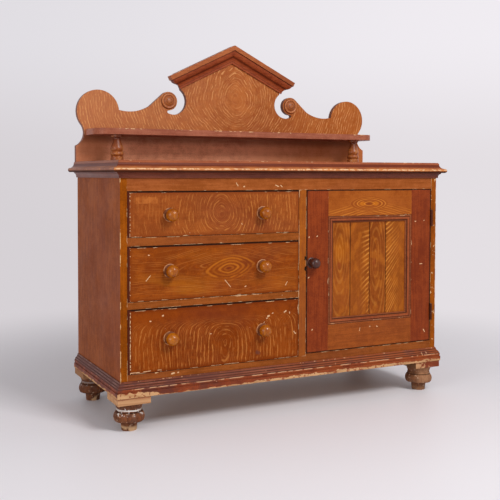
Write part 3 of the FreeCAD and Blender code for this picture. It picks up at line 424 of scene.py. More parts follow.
def scratch(coat, x, z, end_x, end_z, width):
    """A short scratch on the front from one place to another, in millimetres."""
    run_x, run_z = (end_x - x) * MM, (end_z - z) * MM
    aside, rise = coat.x - x * MM, coat.z - z * MM
    along = ((aside * run_x + rise * run_z) / (run_x ** 2 + run_z ** 2)).at_least(0).at_most(1)
    off = length(aside - along * run_x, rise - along * run_z) + coat.ragged(width * MM, 220, 2)
    return coat.fall(width * 0.25 * MM, width * 0.6 * MM, off)


def scratched(coat, layer, marks, mark_layer):
    for mark in marks:
        layer = coat.over(scratch(coat, *mark), layer, mark_layer)
    return layer


def lined(coat, layer, field, lines, share, line_layer):
    """Lines where a field has the values that are given, each with half of its width."""
    for place, half in lines:
        line = coat.fall(half * 0.4, half, (field - place).size())
        layer = coat.over(line * share, layer, line_layer)
    return layer


chip_layer = Layer(CHIP, 0.62, -0.25 * MM)
bare_layer = Layer(WORN_PINE, 0.72, -0.3 * MM)
# Dark for painted shade in gaps and under edges, and for dirt in joints.
shade_and_grime_layer = Layer(SHADE_AND_GRIME, 0.8)
# Holes, painted as the dark shade inside them.
hole_shade_layer = Layer(HOLE_SHADE, 0.9, -0.8 * MM)
front_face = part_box("centre_stile")[0].y


def on_front(coat, paint, wood, depth=5 * MM):
    """Paint on the front and just round its edges, over wood that is bare further back."""
    ragged = coat.ragged(4 * MM, 40)
    return coat.over(coat.smooth(depth * 0.7, depth * 1.3, coat.y - front_face + ragged), paint, wood)


def drawer_front(number, light, dark, figure, marks, cover, dotted, seed):
    """A grained front with painted shade in the gaps and chips round it, dots down its left edge and its own
    scratches.
    """
    node = f"drawer_{number}_front"
    coat = new_coat(f"drawer_{number}_grained")
    paint = figure(coat, brushed(coat, light, dark, "x", seed, streaky=0.12), seed)
    low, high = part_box(node)
    wander = coat.ragged(3 * MM, 70, 3, seed)
    left, right, below, above = DRAWER_GAPS
    inset = (coat.x - low.x - left).at_most(high.x - coat.x - right)
    inset = inset.at_most(coat.z - low.z - below).at_most(high.z - coat.z - above) + wander * 0.35
    paint = coat.stain(coat.fall(0, 14 * MM, inset + wander), paint, dark, 0.45)
    lost = worn_rim(coat, inset.at_least(0), seed, bite=2.6 * MM, cover=cover)
    left_line = coat.fall(0.6 * MM, 1.8 * MM, (coat.x - low.x - 9 * MM).size())
    dots = left_line * coat.patches(0.62 - dotted, 0.66 - dotted, 120, 2, seed + 2)
    worn = coat.over(lost.at_least(specks(coat, seed)).at_least(dots), paint, chip_layer)
    worn = scratched(coat, worn, marks, chip_layer)
    # Painted shade in the gaps round the front; the band at the left is also a worn dark edge.
    beside = coat.smooth(low.x + 8 * MM, low.x + 11 * MM, coat.x)
    edge = coat.over(beside, Layer(DARK_EDGE, 0.55), shade_and_grime_layer)
    worn = coat.over(coat.fall(-0.5 * MM, 0.3 * MM, inset), worn, edge)
    wood = pine(coat, "x", PINE_LIGHT, PINE_DARK, seed)
    coat.finish([node], on_front(coat, worn, wood), gloss=0.08)


def nested_figure(eye, up, down, pitch, faint_left, ceiling=None):
    """Comb strokes nested round one eye, fainter on its left and just below a ceiling."""

    def figure(coat, ground, seed):
        level = ovals(coat, eye, 1, up, down, ceiling=ceiling)
        fade = 1 - coat.smooth(0.06, 0.28, eye[0] - coat.x) * faint_left
        if ceiling:
            fade = fade * coat.fall(0.55 * ceiling, 0.95 * ceiling, coat.z - eye[1])
        comb = combed(coat, level, pitch, seed, width=0.36, sway=9 * MM, breaks=(0.4, 0.56), rate=30)
        fade = fade * (coat.smooth(8 * MM, 50 * MM, level) * 0.4 + 0.6)
        return figured(coat, ground, comb * fade, strength=0.66)

    return figure


def oval_figure(coat, ground, seed):
    """The middle drawer: a pointed oval with a dark heart, and long lines that arch over it."""
    eye = MIDDLE_DRAWER_EYE
    near = ovals(coat, eye, 2.4, 1, 1, tilt=0.09, power=1.55)
    ragged = coat.ragged(36 * MM, 12, 2, seed + 5)
    inside = coat.fall(30 * MM, 48 * MM, near + ragged)
    bands = strokes(coat, near, 9 * MM, seed, width=0.8, sway=3.5 * MM, breaks=(0.3, 0.5), rate=22)
    aside, rise = coat.x - eye[0], coat.z - eye[1]
    arch = coat.fall(0.03, 0.26, aside.size()) * (coat.smooth(-0.02, 0.02, rise) * 0.055 - 0.015)
    flowing = {"width": 0.5, "sway": 5 * MM}
    flow = strokes(coat, rise - arch, 5.5 * MM, seed + 1, breaks=(0.38, 0.58), rate=12, **flowing)
    dark_flow = strokes(coat, rise - arch, 7.5 * MM, seed + 7, breaks=(0.4, 0.58), rate=10, **flowing)
    low_left = coat.smooth(0.02, 0.2, eye[0] - coat.x) * coat.smooth(0, 0.07, eye[1] - coat.z)
    glow = (low_left * 0.8 + 0.2) * coat.patches(0.44, 0.6, 20, 3, seed + 3, drawn_out("x", 0.25))
    paint = coat.stain(glow * 0.6, ground, GLOW, 0.36)
    paint = coat.stain(dark_flow * (1 - inside) * 0.35, paint, RED_BROWN_DARK, 0.4)
    paint = figured(coat, paint, flow * (1 - inside), strength=0.34)
    paint = figured(coat, paint, bands * inside, tone(194, 112, 28), strength=0.66)
    heart = coat.fall(2 * MM, 10 * MM, near)
    return coat.stain(heart * 0.7, paint, RED_BROWN_DARK, 0.4)


def knotted_figure(coat, ground, seed):
    """The bottom drawer: nested arches and one dark knot low on the right."""
    arches = nested_figure(BOTTOM_DRAWER_EYE, 1.15, 3, 14 * MM, faint_left=0.15, ceiling=ARCH_RISE)
    paint = arches(coat, ground, seed)
    knot = scratch(coat, -139, 216, -134, 214, 15)
    return coat.stain(knot * 0.75, paint, tone(104, 58, 44), 0.5)


def labelled_figure(coat, ground, seed):
    """The top drawer: open nests, and the pale ghost of a lost paper label in the upper left corner."""
    paint = nested_figure(TOP_DRAWER_EYE, 1.5, 1.05, 12 * MM, faint_left=0.6)(coat, ground, seed)
    inside_x = LABEL_HALF[0] - (coat.x - LABEL_MIDDLE[0]).size()
    inside_z = LABEL_HALF[1] - (coat.z - LABEL_MIDDLE[1]).size()
    ghost = coat.smooth(0, 3 * MM, inside_x.at_most(inside_z))
    torn = coat.patches(0.4, 0.6, 50, 4, seed)
    return coat.stain(ghost * (torn * 0.5 + 0.1), paint, tone(190, 110, 48), 0.5)


# A scratch is given by the X and Z of its start and of its end, and its width, in millimetres.
drawer_front(
    1, tone(156, 80, 30), tone(132, 62, 20), labelled_figure,
    [(-200, 658, -197, 655, 3)], cover=0.03, dotted=0.1, seed=1)
drawer_front(
    2, tone(155, 75, 12), tone(126, 55, 6), oval_figure,
    [(-539, 482, -524, 499, 2.4), (-261, 470, -240, 446, 2.4), (-186, 444, -183, 445, 4),
     (-29, 440, -22, 452, 2.4), (-531, 564, -528, 564, 3.5)],
    cover=0.05, dotted=0.06, seed=2)
drawer_front(
    3, tone(140, 62, 4), tone(116, 46, 0), knotted_figure,
    [(-484, 366, -481, 367, 5), (-526, 352, -523, 352, 4), (-315, 294, -312, 294, 3.5),
     (-98, 336, -93, 338, 5.5), (-104, 329, -100, 331, 3.5), (-81, 345, -78, 347, 3.5),
     (-114, 316, -111, 318, 3), (-34, 346, -27, 350, 4.5), (-13, 345, -12, 340, 3),
     (5, 276, 8, 272, 3.5), (10, 269, 12, 269, 4), (-548, 191, -524, 192, 2.4),
     (-590, 191, -562, 191, 2.2), (-500, 192, -488, 192, 2)],
    cover=0.1, dotted=0.14, seed=3)


def frame_member(node, along, light, dark, seed, marks=(), holes=(), cover=0.07, gaps=()):
    """A painted member of the front frame or the door: pale broken edges, and bare wood behind."""
    coat = new_coat(f"{node}_paint")
    paint = brushed(coat, light, dark, along, seed)
    lost = worn_rim(coat, box_gap(coat, node), seed, cover=cover).at_least(specks(coat, seed))
    worn = scratched(coat, coat.over(lost * 0.85, paint, chip_layer), marks, chip_layer)
    worn = gap_lines(coat, scratched(coat, worn, holes, hole_shade_layer), node, gaps, seed)
    coat.finish([node], on_front(coat, worn, pine(coat, along, seed=seed)))


frame_member("top_rail", "x", FRAME_PAINT, FRAME_DARK, 11,
             [(-220, 794, -213, 784, 3), (-192, 781, -189, 782, 4.5), (-70, 786, -58, 781, 3),
              (-50, 785, -44, 780, 3)])
frame_member("bottom_rail", "x", RAIL_PAINT, RAIL_DARK, 12,
             [(-508, 184, -500, 186, 5), (-452, 175, -443, 177, 5),
              (-430, 177, -427, 178, 4), (-590, 188, -570, 187, 3.5),
              (-228, 160, -224, 155, 4)], cover=0.1)
frame_member("drawer_divider_upper", "x", RAIL_PAINT, RAIL_DARK, 13)
frame_member("drawer_divider_lower", "x", RAIL_PAINT, RAIL_DARK, 14, cover=0.1)
# The two holes in the centre stile are painted as dark spots of shade.
frame_member("centre_stile", "z", tone(166, 90, 22), tone(142, 72, 20), 15,
             holes=[(50, 525, 50, 534, 7), (50, 488, 50, 497, 7)], cover=0.11)


def side_panel(node, outward, chips, seed):
    """Dull red-brown outside, orange on the front edge, bare inside."""
    coat = new_coat(f"{node}_paint")
    outside = brushed(coat, SIDE_PAINT, SIDE_DARK, "z", seed, roughness=0.46)
    front = brushed(coat, STILE_PAINT, STILE_DARK, "z", seed + 1)
    in_front = coat.faces(-coat.facing_y)
    paint = coat.over(in_front, outside, front)
    low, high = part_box(node)
    outer_edge = low.x if outward < 0 else high.x
    corner = (coat.y - low.y).at_least((coat.x - outer_edge).size())
    inner_line = (coat.y - low.y).at_least((coat.x - (low.x + high.x - outer_edge)).size())
    lost = worn_rim(coat, corner, seed, rim=2 * MM, bite=4 * MM, cover=0.12)
    lost = lost.at_least(worn_rim(coat, inner_line, seed + 2)).at_least(specks(coat, seed, -0.02))
    lost = lost.at_least(specks(coat, seed + 1, chips) * in_front)
    worn = coat.stain(lost, paint, tone(214, 170, 122), 0.6, -0.25 * MM)
    hidden = coat.faces(coat.facing_x * -outward).at_least(coat.faces(coat.facing_y))
    coat.finish([node], coat.over(hidden, worn, pine(coat, "z", seed=seed)), gloss=0.04)


side_panel("side_panel_left", outward=-1, chips=0, seed=21)
side_panel("side_panel_right", outward=1, chips=0.1, seed=22)


def band(coat, low, high, seed, share, ragged=0.8, rate=24):
    """A worn band between two heights, on about that share of it, with about rate breaks in a metre."""
    level = coat.z + coat.ragged((high - low) * ragged, 60, 4, seed + 1)
    inside = coat.smooth(low, low + 0.8 * MM, level) * coat.fall(high - 0.8 * MM, high, level)
    return inside * coat.patches(0.62 - share * 0.34, 0.7 - share * 0.34, rate, 4, seed)


def top_moulding(node, along, light, dark, wear, seed):
    """The thumb moulding round the top: a light fascia, a red hollow darkened with painted shade, a nose that
    is rubbed pale, and painted shade under the nose.
    """
    coat = new_coat(f"{node}_paint")
    low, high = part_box(node)
    rise = coat.z - low.z
    paint = brushed(coat, light, dark, along, seed)
    shaded_underside, hollow_foot, hollow_top = (5 * MM, 7 * MM), (18 * MM, 21 * MM), (29 * MM, 32 * MM)
    # The hollow is dark red, darkened further as painted shade.
    hollow = coat.smooth(*hollow_foot, rise) * coat.fall(*hollow_top, rise)
    paint = coat.stain(hollow * 0.85, paint, tone(92, 34, 18), 0.4)
    paint = coat.stain(coat.smooth(*hollow_top, rise) * 0.3, paint, tone(172, 104, 76), 0.4)
    # Painted shade on the underside of the nose.
    below = coat.fall(*shaded_underside, rise)
    paint = coat.over(below * 0.85, paint, shade_and_grime_layer)
    warm = coat.patches(0.36, 0.6, 20, 4, seed + 7) * coat.fall(16 * MM, 20 * MM, rise)
    paint = coat.stain(warm * (1 - below) * wear * 0.6, paint, tone(196, 118, 58), 0.45)
    nose = band(coat, low.z + 7.5 * MM, low.z + 13.5 * MM, seed, wear, ragged=0.9, rate=50)
    glints = band(coat, low.z + 8 * MM, low.z + 13 * MM, seed + 2, wear * 0.55, ragged=1.2, rate=110)
    paint = coat.stain(nose * 0.6, paint, tone(206, 138, 82), 0.5, -0.15 * MM)
    arris = band(coat, high.z - 2 * MM, high.z + 1 * MM, seed + 4, wear * 0.2, rate=60)
    lost = glints.at_least(arris).at_least(specks(coat, seed, wear * 0.02))
    coat.finish([node], coat.over(lost, paint, chip_layer))


top_moulding("top_moulding_front", "x", tone(168, 92, 52), tone(138, 68, 36), wear=0.95, seed=31)
for side, seed in (("left", 35), ("right", 36)):
    top_moulding(f"top_moulding_{side}", "y", tone(156, 98, 72), tone(126, 72, 52), wear=0.15, seed=seed)


def base_moulding(node, along, light, dark, wear, seed):
    """The base moulding: dark hollows, rubbed rounds, and bare wood where its lower edge was knocked."""
    coat = new_coat(f"{node}_paint")
    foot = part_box(node)[0].z
    rise = coat.z - foot
    upper = brushed(coat, light, dark, along, seed)
    lower = brushed(coat, tone(154, 74, 38), tone(118, 52, 30), along, seed + 1)
    board_top = (27 * MM, 30 * MM)
    paint = coat.over(coat.smooth(*board_top, rise), lower, upper)
    redder = coat.smooth(-0.3, 0.3, coat.x) * coat.patches(0.4, 0.56, 16, 3, seed + 3)
    paint = coat.stain(redder * 0.7, paint, tone(152, 76, 36), 0.4)
    hollows = ((29 * MM, 2.2 * MM), (36 * MM, 1.4 * MM), (43 * MM, 2.2 * MM))
    paint = lined(coat, paint, rise, hollows, 0.75, shade_and_grime_layer)
    stained = coat.patches(0.46, 0.56, 22, 4, seed + 8) * coat.fall(-0.36, -0.16, coat.x)
    paint = coat.stain(stained * 0.7, paint, tone(92, 50, 42), 0.5)
    rubbed = band(coat, foot + 24.5 * MM, foot + 28 * MM, seed + 2, wear * 0.5, ragged=1, rate=40)
    arris = band(coat, foot + 46 * MM, foot + 50 * MM, seed + 4, wear * 0.1, ragged=1, rate=70)
    lost = rubbed.at_least(arris).at_least(specks(coat, seed, wear * 0.045))
    worn = coat.stain(lost * 0.85, paint, tone(210, 160, 120), 0.6, -0.2 * MM)
    left_end, right_part = coat.fall(-0.54, -0.46, coat.x), coat.smooth(-0.34, -0.02, coat.x)
    bare_height = (left_end * (13 * MM) + right_part * (6.5 * MM) + 2 * MM) * wear
    ragged = coat.ragged(20 * MM, 55, 5, seed + 6) + coat.ragged(16 * MM, 9, 2, seed)
    knocked = coat.fall(0, 1 * MM, rise - bare_height + ragged)
    wood = pine(coat, along, tone(206, 160, 114), tone(168, 120, 80), seed)
    remains = coat.patches(0.54, 0.6, 80, 4, seed + 9)
    wood = coat.stain(remains * 0.8, wood, tone(140, 62, 34), 0.5)
    coat.finish([node], coat.over(knocked, worn, wood))


base_moulding("base_moulding_front", "x", tone(142, 82, 58), tone(112, 58, 42), wear=1, seed=33)
for side, seed in (("left", 37), ("right", 38)):
    base_moulding(f"base_moulding_{side}", "y", tone(128, 84, 72), tone(102, 62, 52), wear=0.3, seed=seed)


def plain_paint(name, members, light, dark, along, seed, amount=0, gloss=0.22):
    coat = new_coat(name)
    paint = brushed(coat, light, dark, along, seed)
    coat.finish(members, coat.over(specks(coat, seed, amount), paint, chip_layer), gloss)


plain_paint("bed_moulding_paint", ["bed_moulding"], tone(118, 58, 38), tone(92, 40, 26), "x", 32,
            amount=-0.02)


def worktop():
    coat = new_coat("worktop_paint")
    paint = brushed(coat, tone(156, 88, 54), tone(120, 58, 36), "x", 34)
    worn = coat.over(specks(coat, 34, 0.02), paint, bare_layer)
    below = coat.faces(-coat.facing_z)
    coat.finish(["top_board"], coat.over(below, worn, pine(coat, "x", seed=34)))


worktop()


def gallery_face(coat):
    """Nested strokes on a mottled ground, paler to the left with a painted sheen, and more orange to the
    right.
    """
    ground = brushed(coat, GALLERY, GALLERY_DARK, "x", 41, streaky=0.12)
    mottle = coat.patches(0.46, 0.62, 34, 4, 45)
    ground = coat.stain(mottle * 0.4, ground, tone(150, 74, 36), 0.36)
    # Painted sheen: the left part is paler, as if it reflected a light on the left.
    ground = coat.stain(coat.smooth(0.1, -0.6, coat.x) * 0.4, ground, tone(190, 124, 88), 0.4)
    ground = coat.stain(coat.smooth(0.1, 0.6, coat.x) * 0.4, ground, tone(168, 88, 20), 0.36)
    level = ovals(coat, GALLERY_EYE, 1, 1.6, 1, power=1.7)
    comb = combed(coat, level, 11 * MM, 41, width=0.4, sway=13 * MM, breaks=(0.4, 0.56), rate=40)
    comb = comb * (coat.smooth(20 * MM, 60 * MM, level) * 0.6 + 0.4)
    face = figured(coat, ground, comb, GALLERY_STROKE, strength=0.75)
    # A drill hole, painted as a dark spot of shade.
    return scratched(coat, face, [(264, 1060, 268, 1060, 6)], hole_shade_layer)


def gallery_under(coat, shelf_low):
    """Plain brown below the shelf, darker at the ends and to the right, with a painted shadow just under the
    shelf.
    """
    under = brushed(coat, tone(246, 170, 130), tone(210, 134, 98), "x", 42, streaky=0.2)
    under = coat.stain(coat.smooth(0.48, 0.54, coat.x.size()) * 0.7, under, tone(176, 104, 66), 0.4)
    under = coat.stain(coat.smooth(-0.05, 0.4, coat.x) * 0.6, under, tone(176, 92, 24), 0.4)
    # Painted shadow of the shelf on the board just under it.
    shelf_shadow = coat.smooth(shelf_low - 40 * MM, shelf_low - 8 * MM, coat.z)
    return coat.stain(shelf_shadow * 0.6, under, tone(86, 38, 18), 0.45)


def gallery():
    """The shaped board: a grained face, plain brown below the shelf, dark edges and a bare back."""
    coat = new_coat("gallery_grained")
    shelf_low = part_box("gallery_shelf")[0].z
    below = coat.fall(shelf_low, shelf_low + 10 * MM, coat.z)
    face = coat.over(below, gallery_face(coat), gallery_under(coat, shelf_low))
    edge = brushed(coat, tone(138, 78, 48), tone(104, 54, 34), "x", 43)
    paint = coat.over(coat.smooth(0.3, 0.5, coat.facing_y.size()), edge, face)
    back = coat.faces(coat.facing_y)
    coat.finish(["gallery_backboard"], coat.over(back, paint, pine(coat, "x", seed=44)))


def gallery_shelf():
    coat = new_coat("shelf_paint")
    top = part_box("gallery_shelf")[1].z
    paint = brushed(coat, tone(176, 108, 82), tone(148, 82, 60), "x", 51)
    on_top = coat.faces(coat.facing_z)
    arris = band(coat, top - 3 * MM, top + 2 * MM, 51, share=0.2, rate=50) * (1 - on_top)
    arris = arris.at_least(worn_rim(coat, box_gap(coat, "gallery_shelf", "xy"), 51) * on_top)
    lost = arris.at_least(specks(coat, 51, 0.01))
    coat.finish(["gallery_shelf"], coat.over(lost, paint, chip_layer))


def pediment():
    """The raking mouldings: a light fascia, a dark quirk, a red round, a dark hollow and a fillet; the quirk
    and the hollow are dark with painted shade.
    """
    coat = new_coat("pediment_paint")
    steep, flat = math.sin(PEDIMENT_SLOPE), math.cos(PEDIMENT_SLOPE)
    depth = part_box("pediment_moulding_right")[1].z * flat - (coat.z * flat + coat.x.size() * steep)
    paint = brushed(coat, tone(170, 96, 54), tone(142, 74, 38), "x", 52)
    red = brushed(coat, tone(154, 74, 40), tone(122, 52, 28), "x", 57)
    paint = coat.over(coat.smooth(17 * MM, 19 * MM, depth), paint, red)
    # Dark lines of painted shade in the quirks and the hollow.
    quirks = ((18 * MM, 2.2 * MM), (39 * MM, 4 * MM), (54 * MM, 1.5 * MM))
    paint = lined(coat, paint, depth, quirks, 0.65, Layer(DARK_EDGE, 0.5))
    arris = worn_rim(coat, depth.size(), 52, rim=1 * MM, bite=2 * MM, cover=0.04)
    arris = arris * coat.fall(0.3, 0.6, coat.facing_z)
    members = ["pediment_moulding_left", "pediment_moulding_right"]
    coat.finish(members, coat.over(arris, paint, chip_layer))


def columns():
    """Turned columns: dark in the grooves, rubbed light on the beads."""
    coat = new_coat("column_paint")
    radius, outer = pair_radius(coat, "gallery_columns", "y")
    bead = coat.smooth(0.62 * outer, outer, radius)
    paint = brushed(coat, tone(166, 90, 40), tone(136, 66, 26), "z", 53)
    paint = coat.stain((1 - bead) * 0.5, paint, DARK_EDGE, 0.45)
    rubbed = bead * coat.patches(0.45, 0.65, 70, 3, 53)
    paint = coat.stain(rubbed * 0.5, paint, tone(206, 138, 78), 0.3)
    coat.finish(["gallery_columns"], paint, gloss=0.35)


def bosses():
    """Turned scroll bosses: rings with dark grooves round a browner button."""
    coat = new_coat("boss_paint")
    radius, outer = pair_radius(coat, "scroll_bosses", "z")
    ring = brushed(coat, tone(188, 114, 60), tone(158, 86, 44), "x", 54)
    button = brushed(coat, tone(172, 98, 48), tone(140, 74, 34), "x", 58)
    paint = coat.over(coat.fall(0.62 * outer, 0.66 * outer, radius), ring, button)
    grooves = [(share * outer, 1.5 * MM) for share in (0.32, 0.66, 0.97)]
    paint = lined(coat, paint, radius, grooves, 0.6, Layer(DARK_EDGE, 0.5, -0.2 * MM))
    coat.finish(["scroll_bosses"], paint, gloss=0.3)


gallery()
gallery_shelf()
pediment()
columns()
bosses()


def drawer_knobs(number, seed):
    """Varnished turned knobs: mottled ochre, a dark neck, and a pale rubbed rim on the flange."""
    node = f"drawer_{number}_knobs"
    coat = new_coat(f"{node}_varnish")
    radius, outer = pair_radius(coat, node, "z")
    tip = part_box(node)[0].y
    paint = brushed(coat, tone(184, 106, 14), tone(150, 76, 4), "z", seed, roughness=0.2)
    mottle = coat.patches(0.42, 0.66, 90, 4, seed)
    paint = coat.stain(mottle * 0.5, paint, tone(128, 56, 2), 0.16)
    neck = coat.smooth(*KNOB_NECK, coat.y - tip)
    paint = coat.stain(neck * 0.8, paint, tone(84, 32, 4), 0.7)
    rim = coat.smooth(0.89 * outer, 0.95 * outer, radius) * neck
    rubbed = rim * coat.patches(0.4, 0.54, 60, 3, seed)
    paint = coat.stain(rubbed * 0.8, paint, tone(206, 146, 98), 0.5)
    coat.finish([node], paint, gloss=0.32)


for number in (1, 2, 3):
    drawer_knobs(number, 55 + number * 0.3)
plain_paint("door_knob_paint", ["door_knob", "door_knob_rose"], tone(80, 36, 22), tone(44, 18, 11), "z", 56,
            amount=-0.05, gloss=0.45)

frame_member("door_latch_stile", "z", RED_BROWN, RED_BROWN_DARK, 61,
             [(64, 602, 66, 604, 4), (97, 604, 99, 606, 3.5), (78, 274, 80, 276, 4),
              (63, 460, 65, 462, 4)], cover=0.02,
             gaps=(("left", 4.5), ("top", 3.5), ("bottom", 3)))
frame_member("door_hinge_stile", "z", RED_BROWN, RED_BROWN_DARK, 62,
             [(571, 237, 577, 227, 3.5), (527, 648, 531, 648, 4), (568, 650, 570, 651, 3.5),
              (552, 487, 562, 487, 3)], cover=0.02,
             gaps=(("right", 4), ("top", 2), ("bottom", 3)))
frame_member("door_bottom_rail", "x", tone(156, 80, 28), tone(130, 62, 20), 64,
             [(280, 256, 282, 266, 3), (355, 266, 359, 264, 4), (325, 268, 327, 268, 4)],
             cover=0.02, gaps=(("bottom", 3),))


def door_top_rail():
    """Ochre with a flat oval in two lobes, and arcs that reach down to both stiles."""
    coat = new_coat("door_top_rail_grained")
    eye = DOOR_RAIL_EYE
    ground = brushed(coat, tone(160, 84, 26), tone(138, 66, 14), "x", 63, streaky=0.2)
    near = ovals(coat, eye, 3.1, 1, 1, power=1.8)
    inside = coat.fall(24 * MM, 29 * MM, near)
    rings = strokes(coat, near, 5 * MM, 63, width=0.62, sway=2 * MM, breaks=(0.22, 0.42), rate=14)
    aside, rise = (coat.x - eye[0]).size(), coat.z - eye[1]
    tent = rise + aside * 0.24
    rays = strokes(coat, tent, 8.5 * MM, 64, width=0.5, sway=3 * MM, breaks=(0.34, 0.52), rate=12)
    rays = rays * (1 - inside) * coat.fall(14 * MM, 24 * MM, tent)
    paint = coat.stain(inside * 0.6, ground, tone(132, 58, 14), 0.36)
    comb = (rings * inside).at_least(rays * 0.9)
    paint = figured(coat, paint, comb, tone(206, 126, 44), strength=0.85)
    lobe_aside, lobe_rise = (aside - 29 * MM) / (18 * MM), rise / (10 * MM)
    lobes = coat.fall(0.3, 1.1, length(lobe_aside, lobe_rise))
    paint = coat.stain(lobes * 0.6, paint, tone(200, 114, 22), 0.36)
    heart = coat.fall(1.5 * MM, 5 * MM, near)
    paint = coat.stain(heart * 0.8, paint, RED_BROWN_DARK, 0.4)
    worn = coat.over(worn_rim(coat, box_gap(coat, "door_top_rail", "z"), 63, cover=0), paint, chip_layer)
    worn = gap_lines(coat, worn, "door_top_rail", (("top", 3.5),), 63)
    coat.finish(["door_top_rail"], on_front(coat, worn, pine(coat, "x", seed=63)))


door_top_rail()


def panel_moulding():
    """Bands across the moulding round the panel: a rubbed outer lip and a red round between dark lines, which
    are partly painted shadow, with a painted highlight on the round.
    """
    coat = new_coat("panel_moulding_paint")
    gap = box_gap(coat, "door_panel_moulding")
    paint = brushed(coat, tone(148, 82, 46), tone(120, 60, 32), "x", 65)
    red = brushed(coat, tone(152, 76, 38), tone(122, 54, 26), "z", 67)
    round_start, round_end = (7 * MM, 8 * MM), (17 * MM, 18 * MM)
    paint = coat.over(coat.smooth(*round_start, gap) * coat.fall(*round_end, gap), paint, red)
    # The dark lines are partly painted shade; the one beside the panel stands for its shadow.
    quirks = ((0.8 * MM, 1.8 * MM), (7.5 * MM, 1.8 * MM), (19 * MM, 2.6 * MM))
    paint = lined(coat, paint, gap, quirks, 0.8, shade_and_grime_layer)
    # A faint painted highlight along the crest of the red round.
    painted_crest_highlight = coat.fall(0.6 * MM, 1.6 * MM, (gap - 12 * MM).size())
    paint = coat.stain(painted_crest_highlight * 0.15, paint, tone(196, 124, 84), 0.4)
    lost = worn_rim(coat, (gap - 3 * MM).size(), 65, rim=0.8 * MM, bite=1.5 * MM, cover=0.02)
    lost = lost.at_least(specks(coat, 65))
    coat.finish(["door_panel_moulding"], coat.over(lost * 0.8, paint, chip_layer))


panel_moulding()


def board_figures(coat):
    """For each board of the panel, the level that its strokes follow, how bold they are, and its tint.

    Two boards have tall ovals, and two have short slanting strokes beside their inner joint.
    """
    first, second, third = PANEL_JOINTS
    left_of_joint, right_of_joint = second - coat.x, coat.x - third
    drop = (SLANT_TOP - coat.z).at_least(0)
    tall_left = ovals(coat, LEFT_BOARD_EYE, 1, 4.5, 4.5) * 1.8
    tall_right = ovals(coat, RIGHT_BOARD_EYE, 1, 5, 5) * 1.8
    slant_left = coat.z + left_of_joint * (drop * 3 + 0.25)
    slant_right = coat.z - right_of_joint * (drop * 3.5 + 0.55) - right_of_joint * right_of_joint * 6
    beside_left = 1.05 - coat.smooth(4 * MM, 46 * MM, left_of_joint)
    beside_left = beside_left * (1 - coat.smooth(0.57, 0.64, coat.z) * 0.7)
    level, bold, tint = tall_left, 0.36, 0.35
    steps = ((first, slant_left, beside_left, 0.5),
             (second, tall_right, 0.36, 0.2),
             (third, slant_right, 1.05 - coat.smooth(10 * MM, 76 * MM, right_of_joint), 0.7))
    for joint, board_level, board_bold, board_tint in steps:
        beyond = coat.smooth(joint - 0.1 * MM, joint + 0.1 * MM, coat.x)
        level = coat.between(beyond, level, board_level)
        bold = coat.between(beyond, bold, board_bold)
        tint = coat.between(beyond, tint, board_tint)
    return level, bold, tint


def panel_boards():
    """Four grained boards with dark joints, glowing round one eye, and bare behind."""
    coat = new_coat("panel_grained")
    level, bold, tint = board_figures(coat)
    ground = brushed(coat, tone(147, 73, 20), tone(121, 54, 8), "z", 66, streaky=0.25)
    ground = coat.stain(tint * 0.3, ground, GLOW, 0.36)
    mottle = coat.patches(0.47, 0.62, 40, 4, 68, drawn_out("z", 0.5))
    ground = coat.stain(mottle * 0.4, ground, tone(182, 102, 26), 0.36)
    glow = coat.fall(8 * MM, 40 * MM, ovals(coat, BOARD_GLOW, 1, 1.7, 1.7))
    ground = coat.stain(glow * 0.45, ground, tone(188, 104, 14), 0.36)
    figure = strokes(coat, level, 17 * MM, 66, width=0.54, sway=5 * MM, breaks=(0.3, 0.52), rate=30)
    paint = figured(coat, ground, figure * bold, tone(208, 134, 54), strength=0.9)
    for place in BOARD_HEARTS:
        heart = coat.fall(3 * MM, 12 * MM, ovals(coat, place, 1, 1.8, 1.8))
        paint = coat.stain(heart * 0.55, paint, RED_BROWN, 0.4)
    for joint in PANEL_JOINTS:
        line = coat.fall(0.8 * MM, 2.4 * MM, (coat.x - joint).size())
        paint = coat.over(line * 0.75, paint, shade_and_grime_layer)
    worn = coat.over(specks(coat, 66, -0.02), paint, chip_layer)
    behind = coat.faces(coat.facing_y)
    coat.finish(["door_panel_boards"], coat.over(behind, worn, pine(coat, "z", seed=66)))


panel_boards()


